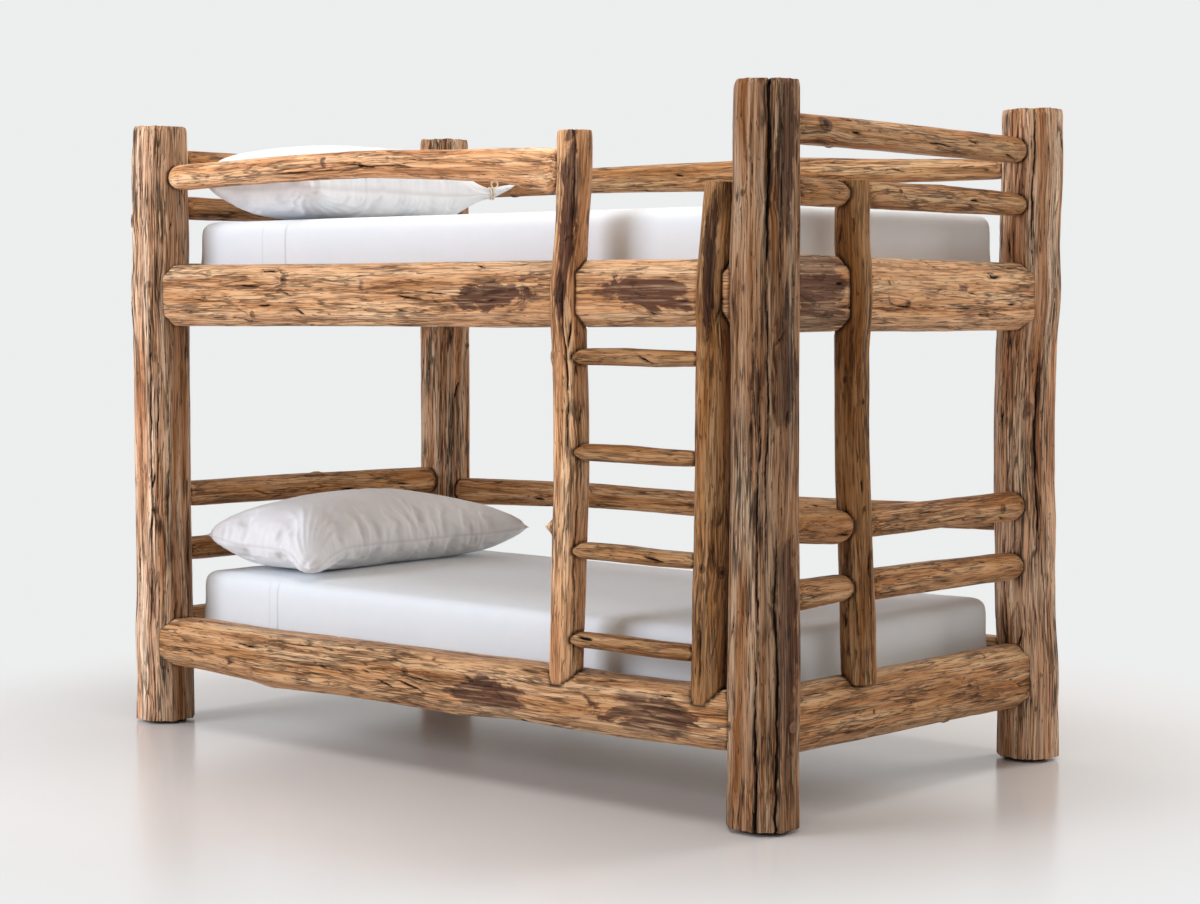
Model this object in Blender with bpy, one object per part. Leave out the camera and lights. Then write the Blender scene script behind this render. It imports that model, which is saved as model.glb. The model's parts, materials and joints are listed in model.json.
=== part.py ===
"""Rustic log bunk bed: hewn posts, log rails tenoned into them, a fixed ladder and two made-up beds.

Units are metres and +Z is up. +X points to the foot end, -Y is the ladder side, and the origin is
on the floor under the middle of the bed.
"""

import math
from dataclasses import dataclass
from typing import Optional

import bmesh
import bpy
from mathutils import Vector

# Fits
FIT = 0.0003                  # gap kept between pieces that touch
GLUE_GAP = 0.002              # room past the tip of a tenon or a bolt

# Mattresses, which set the inside of the bed
MATTRESS_LENGTH = 2.052
MATTRESS_WIDTH = 0.982
MATTRESS_HEIGHT = 0.190
MATTRESS_CROWN = 0.010        # how far the middle of the top swells
MATTRESS_CORNER = 0.024       # corner radius in plan
MATTRESS_EDGE = 0.040         # how far the top and bottom edges are rounded
MATTRESS_SIDE_GAP = 0.0040    # mattress side to the posts
MATTRESS_END_GAP = 0.0055     # mattress end to the end rails

# Pillows
PILLOW_LENGTH = 0.905
PILLOW_WIDTH = 0.450
PILLOW_THICKNESS = 0.216
PILLOW_SEAM = 0.072           # side seam above the mattress
PILLOW_DRAW = 0.055           # share by which the middle of each side is drawn in
PILLOW_HEAD_GAP = 0.026       # pillow to the head end of the mattress
PILLOW_SIT = 0.012            # how far the pillow settles on the mattress
PILLOW_SHIFT_UPPER = -0.030   # shift across the bed
PILLOW_SHIFT_LOWER = -0.041
PILLOW_CELLS_LONG = 14
PILLOW_CELLS_WIDE = 10

# Posts
POST_RISE = 0.397             # sawn tops above the upper side rails
POST_SIZE = 0.146             # across the hewn flats
POST_CHAMFER = 0.040          # hewn corners
POST_SWELL = 0.007            # furthest that a post swells past its flats
POST_TOP_EASE = 0.004         # eased edge round the sawn top
PAD_HEIGHT = 0.008
PAD_RADIUS = 0.056
PAD_SIDES = 16

# Heights of the rails
UPPER_RAIL_TOP = 1.303
UPPER_RAIL_HALF = 0.085       # half height of the upper side rails
LOWER_RAIL_TOP = 0.306
LOWER_RAIL_HALF = 0.072
UPPER_END_HALF = 0.088
LOWER_END_HALF = 0.079
UPPER_RAIL_THICKNESS = 0.097
LOWER_RAIL_THICKNESS = 0.130
END_RAIL_THICKNESS = 0.097
RAIL_CHAMFER = 0.030
TOP_GUARD_RISE = 0.294         # guards of the upper bunk, above the upper side rails
SECOND_GUARD_RISE = 0.152
HEAD_SECOND_GUARD_RISE = 0.166
FRONT_GUARD_RISE = 0.247
BACK_UPPER_GUARD_RISE = 0.259
BACK_LOWER_GUARD_RISE = 0.300  # guards of the lower bunk, above the lower side rails
FOOT_HIGH_GUARD_RISE = 0.378
FOOT_LOW_GUARD_RISE = 0.223
HEAD_HIGH_GUARD_RISE = 0.339
HEAD_LOW_GUARD_RISE = 0.183
GUARD_HALF = 0.038            # half thickness of a guard rail

# Ladder and foot upright
UPRIGHT_OFFSET = 0.026        # stiles and upright stand this far outside the posts' centre planes
UPRIGHT_HALF = 0.044
LADDER_WIDTH = 0.438          # between the stiles' middles
STILE_POST_GAP = 0.013        # right stile to the foot post's flat
LEFT_STILE_RISE = 0.062       # stile tops above the front guard and above the upper side rail
RIGHT_STILE_RISE = 0.173
STILE_FOOT_DEPTH = 0.030      # how deep a stile stands in the lower rail
FOOT_UPRIGHT_INSET = 0.310    # foot upright from the middle of the front post
FOOT_UPRIGHT_RISE = 0.032     # its top above the second guard
UPRIGHT_FOOT_DEPTH = 0.014
RUNG_PLACES = (0.102, 0.363, 0.649, 0.926)  # shares of the height between the side rails
RUNG_HALF_DEPTH = 0.035
RUNG_HALF_HEIGHT = 0.021

# Mattress deck
DECK_DROP = 0.058             # slat tops below the tops of the side rails
SLAT_COUNT = 12
SLAT_WIDTH = 0.070
SLAT_THICKNESS = 0.018
SLAT_END_GAP = 0.002          # slat ends to the side rails
SLAT_MARGIN = 0.035           # outer slats to the faces of the posts
STRAP_WIDTH = 0.030
STRAP_THICKNESS = 0.003
STRAP_INSET = 0.220           # straps from the middle of the bed
CLEAT_SIZE = 0.034
CLEAT_MARGIN = 0.004          # cleat ends to the posts

# Fasteners
BOLT_RADIUS = 0.006
BOLT_HEAD_RADIUS = 0.011
BOLT_HEAD_HEIGHT = 0.008
BOLT_RECESS = 0.030           # head seat below the post's outer flat
BOLT_REACH = 0.060            # bolt past the post's inner flat
BOLT_SIDES = 8
LAP_SCREW_RADIUS = 0.004
LAP_SCREW_HEAD_RADIUS = 0.008
LAP_SCREW_HEAD_HEIGHT = 0.006
LAP_SCREW_BITE = 0.024        # screw past the lap into the upright log
LAP_SCREW_RISE = 0.040        # screw above the middle of the rail

# Hewing
ROUND_SIDES = 8
HEW = 0.030                   # share by which hewn faces vary

# Worked out from the sizes above
HALF_X = MATTRESS_LENGTH / 2 + MATTRESS_END_GAP + END_RAIL_THICKNESS / 2
HALF_Y = MATTRESS_WIDTH / 2 + MATTRESS_SIDE_GAP + POST_SIZE / 2
POST_HEIGHT = UPPER_RAIL_TOP + POST_RISE
UPPER_RAIL_Z = UPPER_RAIL_TOP - UPPER_RAIL_HALF
LOWER_RAIL_Z = LOWER_RAIL_TOP - LOWER_RAIL_HALF
UPPER_DECK = UPPER_RAIL_TOP - DECK_DROP
LOWER_DECK = LOWER_RAIL_TOP - DECK_DROP
STILE_Y = -(HALF_Y + UPRIGHT_OFFSET)
RIGHT_STILE_X = HALF_X - POST_SIZE / 2 - STILE_POST_GAP - UPRIGHT_HALF
LEFT_STILE_X = RIGHT_STILE_X - LADDER_WIDTH
UPRIGHT_X = HALF_X + UPRIGHT_OFFSET
FOOT_UPRIGHT_Y = FOOT_UPRIGHT_INSET - HALF_Y

X_AXIS = Vector((1, 0, 0))
Y_AXIS = Vector((0, 1, 0))
Z_AXIS = Vector((0, 0, 1))


@dataclass(frozen=True)
class Finish:
    """Colour and gloss of one kind of surface."""

    name: str
    colour: tuple
    roughness: float
    metallic: float = 0.0


POST_WOOD = Finish("post_wood", (0.222, 0.124, 0.064), 0.62)
RAIL_WOOD = Finish("rail_wood", (0.341, 0.188, 0.084), 0.58)
SAWN_WOOD = Finish("sawn_pine", (0.503, 0.342, 0.178), 0.65)
STEEL = Finish("steel", (0.35, 0.35, 0.36), 0.35, 1.0)
RUBBER = Finish("rubber", (0.012, 0.012, 0.013), 0.80)
SHEET = Finish("white_cotton", (0.83, 0.83, 0.84), 0.90)
PILLOW_CASE = Finish("cream_cotton", (0.82, 0.79, 0.74), 0.92)


@dataclass(frozen=True)
class Seat:
    """How one end of a log enters the log that carries it.

    face is the distance from the carrier's axis to its surface, housing how deep the full end is
    let in, neck the share of the section left there, and shoulder the length of the rounding.
    """

    face: float
    housing: float
    tenon: float
    tenon_radius: float
    neck: float
    shoulder: float


HEAVY_SEAT = Seat(POST_SIZE / 2, 0.009, 0.034, 0.024, 0.90, 0.022)
GUARD_SEAT = Seat(POST_SIZE / 2, 0.009, 0.034, 0.019, 0.76, 0.034)
UPRIGHT_SEAT = Seat(UPRIGHT_HALF, 0.014, 0.022, 0.015, 0.74, 0.030)
RUNG_SEAT = Seat(UPRIGHT_HALF, 0.017, 0.014, 0.013, 0.84, 0.014)


@dataclass
class Solid:
    """A closed mesh as points and faces."""

    points: list
    faces: list


def join(solids):
    """One mesh of several separate solids."""
    points = []
    faces = []
    for solid in solids:
        base = len(points)
        points.extend(solid.points)
        faces.extend(tuple(base + i for i in face) for face in solid.faces)
    return Solid(points, faces)


def loft(rings):
    """A closed solid through rings of equal length, capped at both ends.

    Its sides are split the same way each time, so a log and the cut made for it stay parallel.
    """
    count = len(rings[0])
    points = [point for ring in rings for point in ring]
    faces = []
    for i in range(len(rings) - 1):
        for k in range(count):
            here = i * count + k
            side = i * count + (k + 1) % count
            faces.append((here, side, side + count))
            faces.append((here, side + count, here + count))
    faces.append(tuple(range(count)))
    last = (len(rings) - 1) * count
    faces.append(tuple(last + k for k in reversed(range(count))))
    return Solid(points, faces)


def mesh_of(solid):
    """A bmesh of the solid with its faces pointing out."""
    bm = bmesh.new()
    verts = [bm.verts.new(point) for point in solid.points]
    for face in solid.faces:
        bm.faces.new([verts[i] for i in face])
    bmesh.ops.recalc_face_normals(bm, faces=bm.faces[:])
    return bm


def clip(solid, point, normal):
    """The part of a solid behind a plane, closed again where the plane cuts it."""
    bm = mesh_of(solid)
    geometry = bm.verts[:] + bm.edges[:] + bm.faces[:]
    bmesh.ops.bisect_plane(bm, geom=geometry, plane_co=point, plane_no=normal, clear_outer=True)
    rim = [edge for edge in bm.edges if edge.is_boundary]
    bmesh.ops.holes_fill(bm, edges=rim, sides=0)
    bm.verts.index_update()
    points = [vert.co.copy() for vert in bm.verts]
    faces = [tuple(vert.index for vert in face.verts) for face in bm.faces]
    bm.free()
    return Solid(points, faces)


def hewn_outline(half_u, half_v, chamfer):
    """Eight points of a rectangle with hewn corners."""
    u = half_u - chamfer
    v = half_v - chamfer
    return [
        (half_u, v), (u, half_v), (-u, half_v), (-half_u, v),
        (-half_u, -v), (-u, -half_v), (u, -half_v), (half_u, -v),
    ]


def round_outline(half_u, half_v, sides):
    """Points of an ellipse."""
    angles = [2 * math.pi * (k + 0.5) / sides for k in range(sides)]
    return [(half_u * math.cos(angle), half_v * math.sin(angle)) for angle in angles]


def hewn_share(seed, ring, corner):
    """How far one point of a hewn log departs from its outline, from -1 to 1, the same each run."""
    wave = math.sin(12.9898 * seed + 78.233 * ring + 37.719 * corner) * 43758.5453
    return 2 * (wave - math.floor(wave)) - 1


def prism(start, end, radius, sides, up=Z_AXIS):
    """A straight bar of regular section between two points."""
    along = (end - start).normalized()
    u = up.cross(along).normalized()
    v = along.cross(u)
    outline = round_outline(radius, radius, sides)
    return loft([[place + u * a + v * b for a, b in outline] for place in (start, end)])


def box(low, high):
    """A box between two corners."""
    corners = [(low.x, low.y), (high.x, low.y), (high.x, high.y), (low.x, high.y)]
    return loft([[Vector((x, y, z)) for x, y in corners] for z in (low.z, high.z)])


def headed_bar(seat, direction, radius, length, head_radius, head_height, sides, grow=0.0):
    """A bolt or screw: its head stands behind the seat and its shank runs along direction."""
    u = Z_AXIS.cross(direction).normalized()
    v = direction.cross(u)
    profile = (
        (-head_height - grow, head_radius + grow),
        (grow, head_radius + grow),
        (grow, radius + grow),
        (length + grow, radius + grow),
    )
    rings = []
    for along, size in profile:
        middle = seat + direction * along
        rings.append([middle + u * a + v * b for a, b in round_outline(size, size, sides)])
    return loft(rings)


@dataclass
class Rail:
    """A log between two carriers, as stations along its free length.

    Each station is (share, lift, half height, half width). flat_side is the side of the section
    that stays sawn flat, +1 or -1 along the width, or 0 for none.
    """

    name: str
    start: Vector
    end: Vector
    start_seat: Seat
    end_seat: Seat
    stations: tuple
    finish: Finish
    seed: int
    chamfer: Optional[float] = None
    flat_side: int = 0

    def outline(self, half_u, half_v):
        """The section at its full shape."""
        if self.chamfer is None:
            return round_outline(half_u, half_v, ROUND_SIDES)
        return hewn_outline(half_u, half_v, min(self.chamfer, 0.8 * half_u, 0.8 * half_v))

    def ring(self, along, lift, half_v, half_u, mark, grow):
        """One ring of the body, hewn unevenly except on its flat side."""
        direction = (self.end - self.start).normalized()
        across = direction.cross(Z_AXIS).normalized()
        middle = self.start + direction * along + Z_AXIS * lift
        ring = []
        for corner, (u, v) in enumerate(self.outline(half_u + grow, half_v + grow)):
            share = 1 + HEW * hewn_share(self.seed, mark, corner)
            if self.flat_side * u > 0:
                share = 1
            ring.append(middle + across * u * share + Z_AXIS * v * share)
        return ring

    def tenon_ring(self, along, lift, radius):
        """One ring of a round tenon, with as many points as the body."""
        sides = len(self.outline(radius, radius))
        direction = (self.end - self.start).normalized()
        across = direction.cross(Z_AXIS).normalized()
        middle = self.start + direction * along + Z_AXIS * lift
        return [middle + across * u + Z_AXIS * v for u, v in round_outline(radius, radius, sides)]

    def end_rings(self, at_start, grow):
        """The rings of one end, from the tenon's tip to the first full section."""
        length = (self.end - self.start).length
        seat = self.start_seat if at_start else self.end_seat
        station = self.stations[0] if at_start else self.stations[-1]
        mark = 0 if at_start else len(self.stations) - 1
        _, lift, half_v, half_u = station
        inward = 1 if at_start else -1
        face = seat.face if at_start else length - seat.face
        tip_room = GLUE_GAP if grow > 0 else 0.0
        root = face - inward * (seat.housing + grow)
        tip = face - inward * (seat.housing + seat.tenon + tip_room)
        middle_share = seat.neck + (1 - seat.neck) * math.sqrt(0.75)
        rings = [
            self.tenon_ring(tip, lift, seat.tenon_radius + grow),
            self.tenon_ring(root, lift, seat.tenon_radius + grow),
            self.ring(root, lift, half_v * seat.neck, half_u * seat.neck, mark, grow),
            self.ring(
                face + inward * seat.shoulder / 2,
                lift, half_v * middle_share, half_u * middle_share, mark, grow,
            ),
            self.ring(face + inward * seat.shoulder, lift, half_v, half_u, mark, grow),
        ]
        return rings

    def body_rings(self, grow):
        """The full sections between the two ends."""
        length = (self.end - self.start).length
        first = self.start_seat.face + self.start_seat.shoulder
        last = length - self.end_seat.face - self.end_seat.shoulder
        rings = []
        for mark, (share, lift, half_v, half_u) in enumerate(self.stations):
            rings.append(self.ring(first + share * (last - first), lift, half_v, half_u, mark, grow))
        return rings

    def solid(self, grow=0.0):
        """The whole log with its tenons, or what it takes out of a log that crosses it."""
        rings = self.end_rings(True, grow)[:-1] + self.body_rings(grow)
        rings += list(reversed(self.end_rings(False, grow)[:-1]))
        return loft(rings)

    def socket(self, at_start):
        """What one end takes out of its carrier."""
        rings = self.end_rings(at_start, FIT)
        return loft(rings if at_start else rings[::-1])


@dataclass
class Upright:
    """A standing log on one plan point, as stations up its height.

    Each station is (share, shift X, shift Y, half X, half Y).
    """

    name: str
    plan: tuple
    foot: float
    top: float
    stations: tuple
    finish: Finish
    seed: int
    chamfer: Optional[float] = None
    top_ease: float = 0.0
    hew: float = HEW

    def outline(self, half_x, half_y):
        """The section at its full shape."""
        if self.chamfer is None:
            return round_outline(half_x, half_y, ROUND_SIDES)
        return hewn_outline(half_x, half_y, min(self.chamfer, 0.8 * half_x, 0.8 * half_y))

    def ring(self, z, station, mark, grow):
        """One ring at a height."""
        _, shift_x, shift_y, half_x, half_y = station
        ring = []
        for corner, (u, v) in enumerate(self.outline(half_x + grow, half_y + grow)):
            share = 1 + self.hew * hewn_share(self.seed, mark, corner)
            x = self.plan[0] + shift_x + u * share
            y = self.plan[1] + shift_y + v * share
            ring.append(Vector((x, y, z)))
        return ring

    def solid(self, grow=0.0):
        """The whole standing log, let a little deeper where it is grown into a cutter."""
        rings = []
        for mark, station in enumerate(self.stations):
            z = self.foot + station[0] * (self.top - self.foot)
            if mark == 0:
                z -= grow
            if mark == len(self.stations) - 1:
                z -= self.top_ease
            rings.append(self.ring(z, station, mark, grow))
        if self.top_ease:
            share, shift_x, shift_y, half_x, half_y = self.stations[-1]
            eased = (share, shift_x, shift_y, half_x - self.top_ease, half_y - self.top_ease)
            rings.append(self.ring(self.top, eased, len(self.stations) - 1, grow))
        return loft(rings)

    def centre(self, z):
        """The log's axis at a height, read between its stations."""
        share = (z - self.foot) / (self.top - self.foot)
        share = min(max(share, 0.0), 1.0)
        for low, high in zip(self.stations, self.stations[1:]):
            if share <= high[0]:
                part = (share - low[0]) / (high[0] - low[0])
                shift_x = low[1] + part * (high[1] - low[1])
                shift_y = low[2] + part * (high[2] - low[2])
                break
        return Vector((self.plan[0] + shift_x, self.plan[1] + shift_y, z))


class Bench:
    """Collects the pieces and the cuts they make in each other, then builds the objects."""

    def __init__(self):
        self.pieces = {}
        self.cuts = {}
        self.unions = {}

    def add(self, name, solid, origin, finish, smooth_angle=40):
        """Keep a piece under its name."""
        self.pieces[name] = (solid, origin, finish, smooth_angle)

    def cut(self, name, solid, layer=0):
        """Keep a cut; cuts that meet each other go on different layers."""
        self.cuts.setdefault((name, layer), []).append(solid)

    def unite(self, name, solid):
        """Keep a solid that is joined to a piece."""
        self.unions.setdefault(name, []).append(solid)

    def build(self):
        """Make every object and give it its Booleans."""
        built = {}
        for name, (solid, origin, finish, smooth_angle) in self.pieces.items():
            built[name] = make_object(name, solid, origin, finish, smooth_angle)
        for name, solids in self.unions.items():
            add_boolean(built[name], f"join_{name}", solids, "UNION")
        for (name, layer), solids in sorted(self.cuts.items()):
            add_boolean(built[name], f"cut_{name}_{layer}", solids, "DIFFERENCE")
        return built


def add_boolean(thing, name, solids, operation):
    """Join solids to a piece or cut them out of it, as one hidden helper object."""
    helper = make_object(name, join(solids), Vector(), None, 0)
    helper.hide_render = True
    helper.display_type = "WIRE"
    boolean = thing.modifiers.new(name, "BOOLEAN")
    boolean.operation = operation
    boolean.solver = "EXACT"
    boolean.object = helper


def make_object(name, solid, origin, finish, smooth_angle):
    """A mesh object with its own origin and material."""
    bm = mesh_of(solid)
    bmesh.ops.translate(bm, verts=bm.verts[:], vec=-origin)
    mesh = bpy.data.meshes.new(name)
    bm.to_mesh(mesh)
    bm.free()
    if smooth_angle:
        mesh.shade_smooth()
        mesh.set_sharp_from_angle(angle=math.radians(smooth_angle))
    thing = bpy.data.objects.new(name, mesh)
    thing.location = origin
    bpy.context.scene.collection.objects.link(thing)
    if finish is not None:
        mesh.materials.append(material_of(finish))
    return thing


def material_of(finish):
    """The Principled material of one kind of surface."""
    found = bpy.data.materials.get(finish.name)
    if found:
        return found
    material = bpy.data.materials.new(finish.name)
    material.use_nodes = True
    shader = material.node_tree.nodes["Principled BSDF"]
    shader.inputs["Base Color"].default_value = (*finish.colour, 1.0)
    shader.inputs["Roughness"].default_value = finish.roughness
    shader.inputs["Metallic"].default_value = finish.metallic
    return material


def post_stations(side_x, side_y, faces):
    """Stations of a post from (share, outer X, inner X, outer Y, inner Y) past its flats, in mm."""
    stations = []
    for share, out_x, in_x, out_y, in_y in faces:
        half_x = (POST_SIZE + (out_x + in_x) / 1000) / 2
        half_y = (POST_SIZE + (out_y + in_y) / 1000) / 2
        shift_x = side_x * (out_x - in_x) / 2000
        shift_y = side_y * (out_y - in_y) / 2000
        stations.append((share, shift_x, shift_y, half_x, half_y))
    return tuple(stations)


def make_posts(bench):
    """The four posts, each bowed and swollen in its own way, on thin pads.

    A shape is its side along X, its side along Y, how far its top rises, and its faces.
    """
    swell = POST_SWELL * 1000
    shapes = {
        "post_head_front": (-1, -1, -0.004, (
            (0.00, swell, 4, swell, 0), (0.08, 3, 2, 4, 0), (0.30, 2, 0, 2, -1),
            (0.55, 3, -1, 3, 0), (0.80, 3, 0, 3, -1), (1.00, -1, -1, -1, -1),
        )),
        "post_foot_front": (1, -1, 0.0, (
            (0.00, swell, 5, swell, 0), (0.07, 6, 4, 6, 0), (0.20, 6, 4, 6, 0),
            (0.42, 1, 1, 2, -1), (0.60, -1, -1, 0, -1), (0.71, 1, 5, 4, 0),
            (0.84, 0, 0, 0, 0), (1.00, -2, -2, -3, -2),
        )),
        "post_head_back": (-1, 1, 0.016, (
            (0.00, swell, 2, swell, 0), (0.20, 4, 0, 4, -1), (0.50, 3, 0, 3, 0),
            (0.80, 2, 1, 2, 0), (1.00, 0, 0, 0, -1),
        )),
        "post_foot_back": (1, 1, 0.0, (
            (0.00, swell, -2, swell, -3), (0.12, 2, -2, 2, -2), (0.25, -3, 3, -3, 0),
            (0.38, -9, 11, -8, 0), (0.52, -9, 12, -8, 3), (0.66, -6, 9, -5, 3),
            (0.86, -2, 1, -2, 0), (1.00, 0, 0, 0, -1),
        )),
    }
    foot = PAD_HEIGHT + FIT
    for seed, (name, (side_x, side_y, rise, faces)) in enumerate(shapes.items()):
        plan = (side_x * HALF_X, side_y * HALF_Y)
        stations = post_stations(side_x, side_y, faces)
        top = POST_HEIGHT + rise
        post = Upright(
            name, plan, foot, top, stations, POST_WOOD, seed, POST_CHAMFER, POST_TOP_EASE, 0.0,
        )
        middle = Vector((plan[0], plan[1], 0))
        bench.add(name, post.solid(), middle + Z_AXIS * foot, post.finish, 30)
        pad = prism(middle, middle + Z_AXIS * PAD_HEIGHT, PAD_RADIUS, PAD_SIDES, X_AXIS)
        bench.add(name.replace("post", "pad"), pad, middle, RUBBER)


def add_rail(bench, rail, start_carrier, end_carrier):
    """Keep a rail and cut its two sockets."""
    bench.add(rail.name, rail.solid(), rail.start.copy(), rail.finish)
    bench.cut(start_carrier, rail.socket(True))
    bench.cut(end_carrier, rail.socket(False))
    return rail


def along_x(name, y_side, z, stations, seed, finish=RAIL_WOOD, seat=GUARD_SEAT, chamfer=None, flat_side=0):
    """A rail from the head post to the foot post of one side."""
    start = Vector((-HALF_X, y_side * HALF_Y, z))
    end = Vector((HALF_X, y_side * HALF_Y, z))
    return Rail(name, start, end, seat, seat, stations, finish, seed, chamfer, flat_side)


def along_y(name, x_side, z, stations, seed, finish=RAIL_WOOD, seat=GUARD_SEAT, chamfer=None, flat_side=0):
    """A rail from the front post to the back post of one end."""
    start = Vector((x_side * HALF_X, -HALF_Y, z))
    end = Vector((x_side * HALF_X, HALF_Y, z))
    return Rail(name, start, end, seat, seat, stations, finish, seed, chamfer, flat_side)


def make_side_rails(bench):
    """The four heavy rails that join the two ends, sawn flat inside for the cleats."""
    upper = UPPER_RAIL_THICKNESS / 2
    lower = LOWER_RAIL_THICKNESS / 2
    tall = UPPER_RAIL_HALF
    low = LOWER_RAIL_HALF
    upper_stations = (
        (0.00, 0.000, tall, upper), (0.16, 0.001, tall - 0.001, upper),
        (0.34, 0.002, tall - 0.002, upper), (0.52, 0.003, tall - 0.003, upper),
        (0.70, 0.004, tall - 0.004, upper), (0.86, 0.006, tall - 0.006, upper),
        (1.00, 0.007, tall - 0.008, upper),
    )
    lower_stations = (
        (0.00, 0.000, low - 0.005, lower), (0.04, 0.002, low - 0.004, lower),
        (0.165, -0.003, low - 0.002, lower), (0.205, -0.008, low + 0.003, lower),
        (0.36, -0.001, low - 0.001, lower), (0.56, 0.000, low + 0.002, lower),
        (0.66, 0.005, low, lower), (0.84, 0.005, low - 0.002, lower), (1.00, 0.011, low - 0.002, lower),
    )
    rails = {}
    for side, word in ((-1, "front"), (1, "back")):
        head = f"post_head_{word}"
        foot = f"post_foot_{word}"
        for level, z, stations in (
            ("upper", UPPER_RAIL_Z, upper_stations), ("lower", LOWER_RAIL_Z, lower_stations),
        ):
            name = f"{level}_side_rail_{word}"
            rail = along_x(
                name, side, z, stations, 20 + len(rails), seat=HEAVY_SEAT, chamfer=RAIL_CHAMFER,
                flat_side=side,
            )
            rails[name] = add_rail(bench, rail, head, foot)
    return rails


def make_end_rails(bench):
    """The four heavy rails across the ends, flat on the side that faces the mattress."""
    half = END_RAIL_THICKNESS / 2
    upper_stations = (
        (0.00, 0.005, UPPER_END_HALF + 0.001, half), (0.30, 0.003, UPPER_END_HALF, half),
        (0.65, 0.000, UPPER_END_HALF, half), (1.00, -0.003, UPPER_END_HALF - 0.001, half),
    )
    lower_stations = (
        (0.00, 0.008, LOWER_END_HALF - 0.001, half), (0.35, 0.004, LOWER_END_HALF, half),
        (0.70, -0.001, LOWER_END_HALF + 0.002, half), (1.00, -0.005, LOWER_END_HALF + 0.004, half),
    )
    rails = {}
    for side, word in ((-1, "head"), (1, "foot")):
        for level, z, stations in (
            ("upper", UPPER_RAIL_Z, upper_stations), ("lower", LOWER_RAIL_Z, lower_stations),
        ):
            name = f"{level}_end_rail_{word}"
            rail = along_y(
                name, side, z, stations, 30 + len(rails), seat=HEAVY_SEAT, chamfer=RAIL_CHAMFER,
                flat_side=-side,
            )
            rails[name] = add_rail(bench, rail, f"post_{word}_front", f"post_{word}_back")
    return rails


def make_back_guards(bench):
    """The two guard rails along the back."""
    half = GUARD_HALF
    upper = along_x("upper_guard_back", 1, UPPER_RAIL_TOP + BACK_UPPER_GUARD_RISE, (
        (0.00, 0.000, half, half), (0.27, 0.004, half + 0.003, half), (0.48, 0.000, half + 0.007, half),
        (0.66, 0.004, half + 0.004, half), (0.85, -0.006, half - 0.004, half),
        (1.00, -0.012, half - 0.010, half),
    ), 40)
    lower = along_x("lower_guard_back", 1, LOWER_RAIL_TOP + BACK_LOWER_GUARD_RISE, (
        (0.00, -0.009, half + 0.006, half), (0.25, 0.006, half + 0.002, half), (0.48, 0.003, half, half),
        (0.75, 0.012, half - 0.001, half), (1.00, 0.026, half - 0.002, half),
    ), 41)
    for rail in (upper, lower):
        add_rail(bench, rail, "post_head_back", "post_foot_back")


def make_head_guards(bench):
    """The four guard rails across the head end, each in one length."""
    half = GUARD_HALF
    guards = (
        along_y("head_guard_top", -1, UPPER_RAIL_TOP + TOP_GUARD_RISE, (
            (0.00, 0.003, half - 0.001, half), (0.40, 0.000, half, half), (1.00, -0.002, half - 0.001, half),
        ), 50),
        along_y("head_guard_second", -1, UPPER_RAIL_TOP + HEAD_SECOND_GUARD_RISE, (
            (0.00, 0.000, half - 0.003, half), (0.35, -0.004, half - 0.007, half - 0.004),
            (0.70, 0.002, half - 0.002, half), (1.00, 0.000, half - 0.002, half),
        ), 51),
        along_y("head_guard_high", -1, LOWER_RAIL_TOP + HEAD_HIGH_GUARD_RISE, (
            (0.00, 0.004, half + 0.001, half), (0.45, 0.000, half + 0.003, half),
            (1.00, -0.014, half + 0.007, half + 0.003),
        ), 52),
        along_y("head_guard_low", -1, LOWER_RAIL_TOP + HEAD_LOW_GUARD_RISE, (
            (0.00, 0.000, half - 0.003, half), (0.50, -0.001, half - 0.002, half),
            (1.00, 0.002, half - 0.003, half),
        ), 53),
    )
    for rail in guards:
        add_rail(bench, rail, "post_head_front", "post_head_back")


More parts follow.
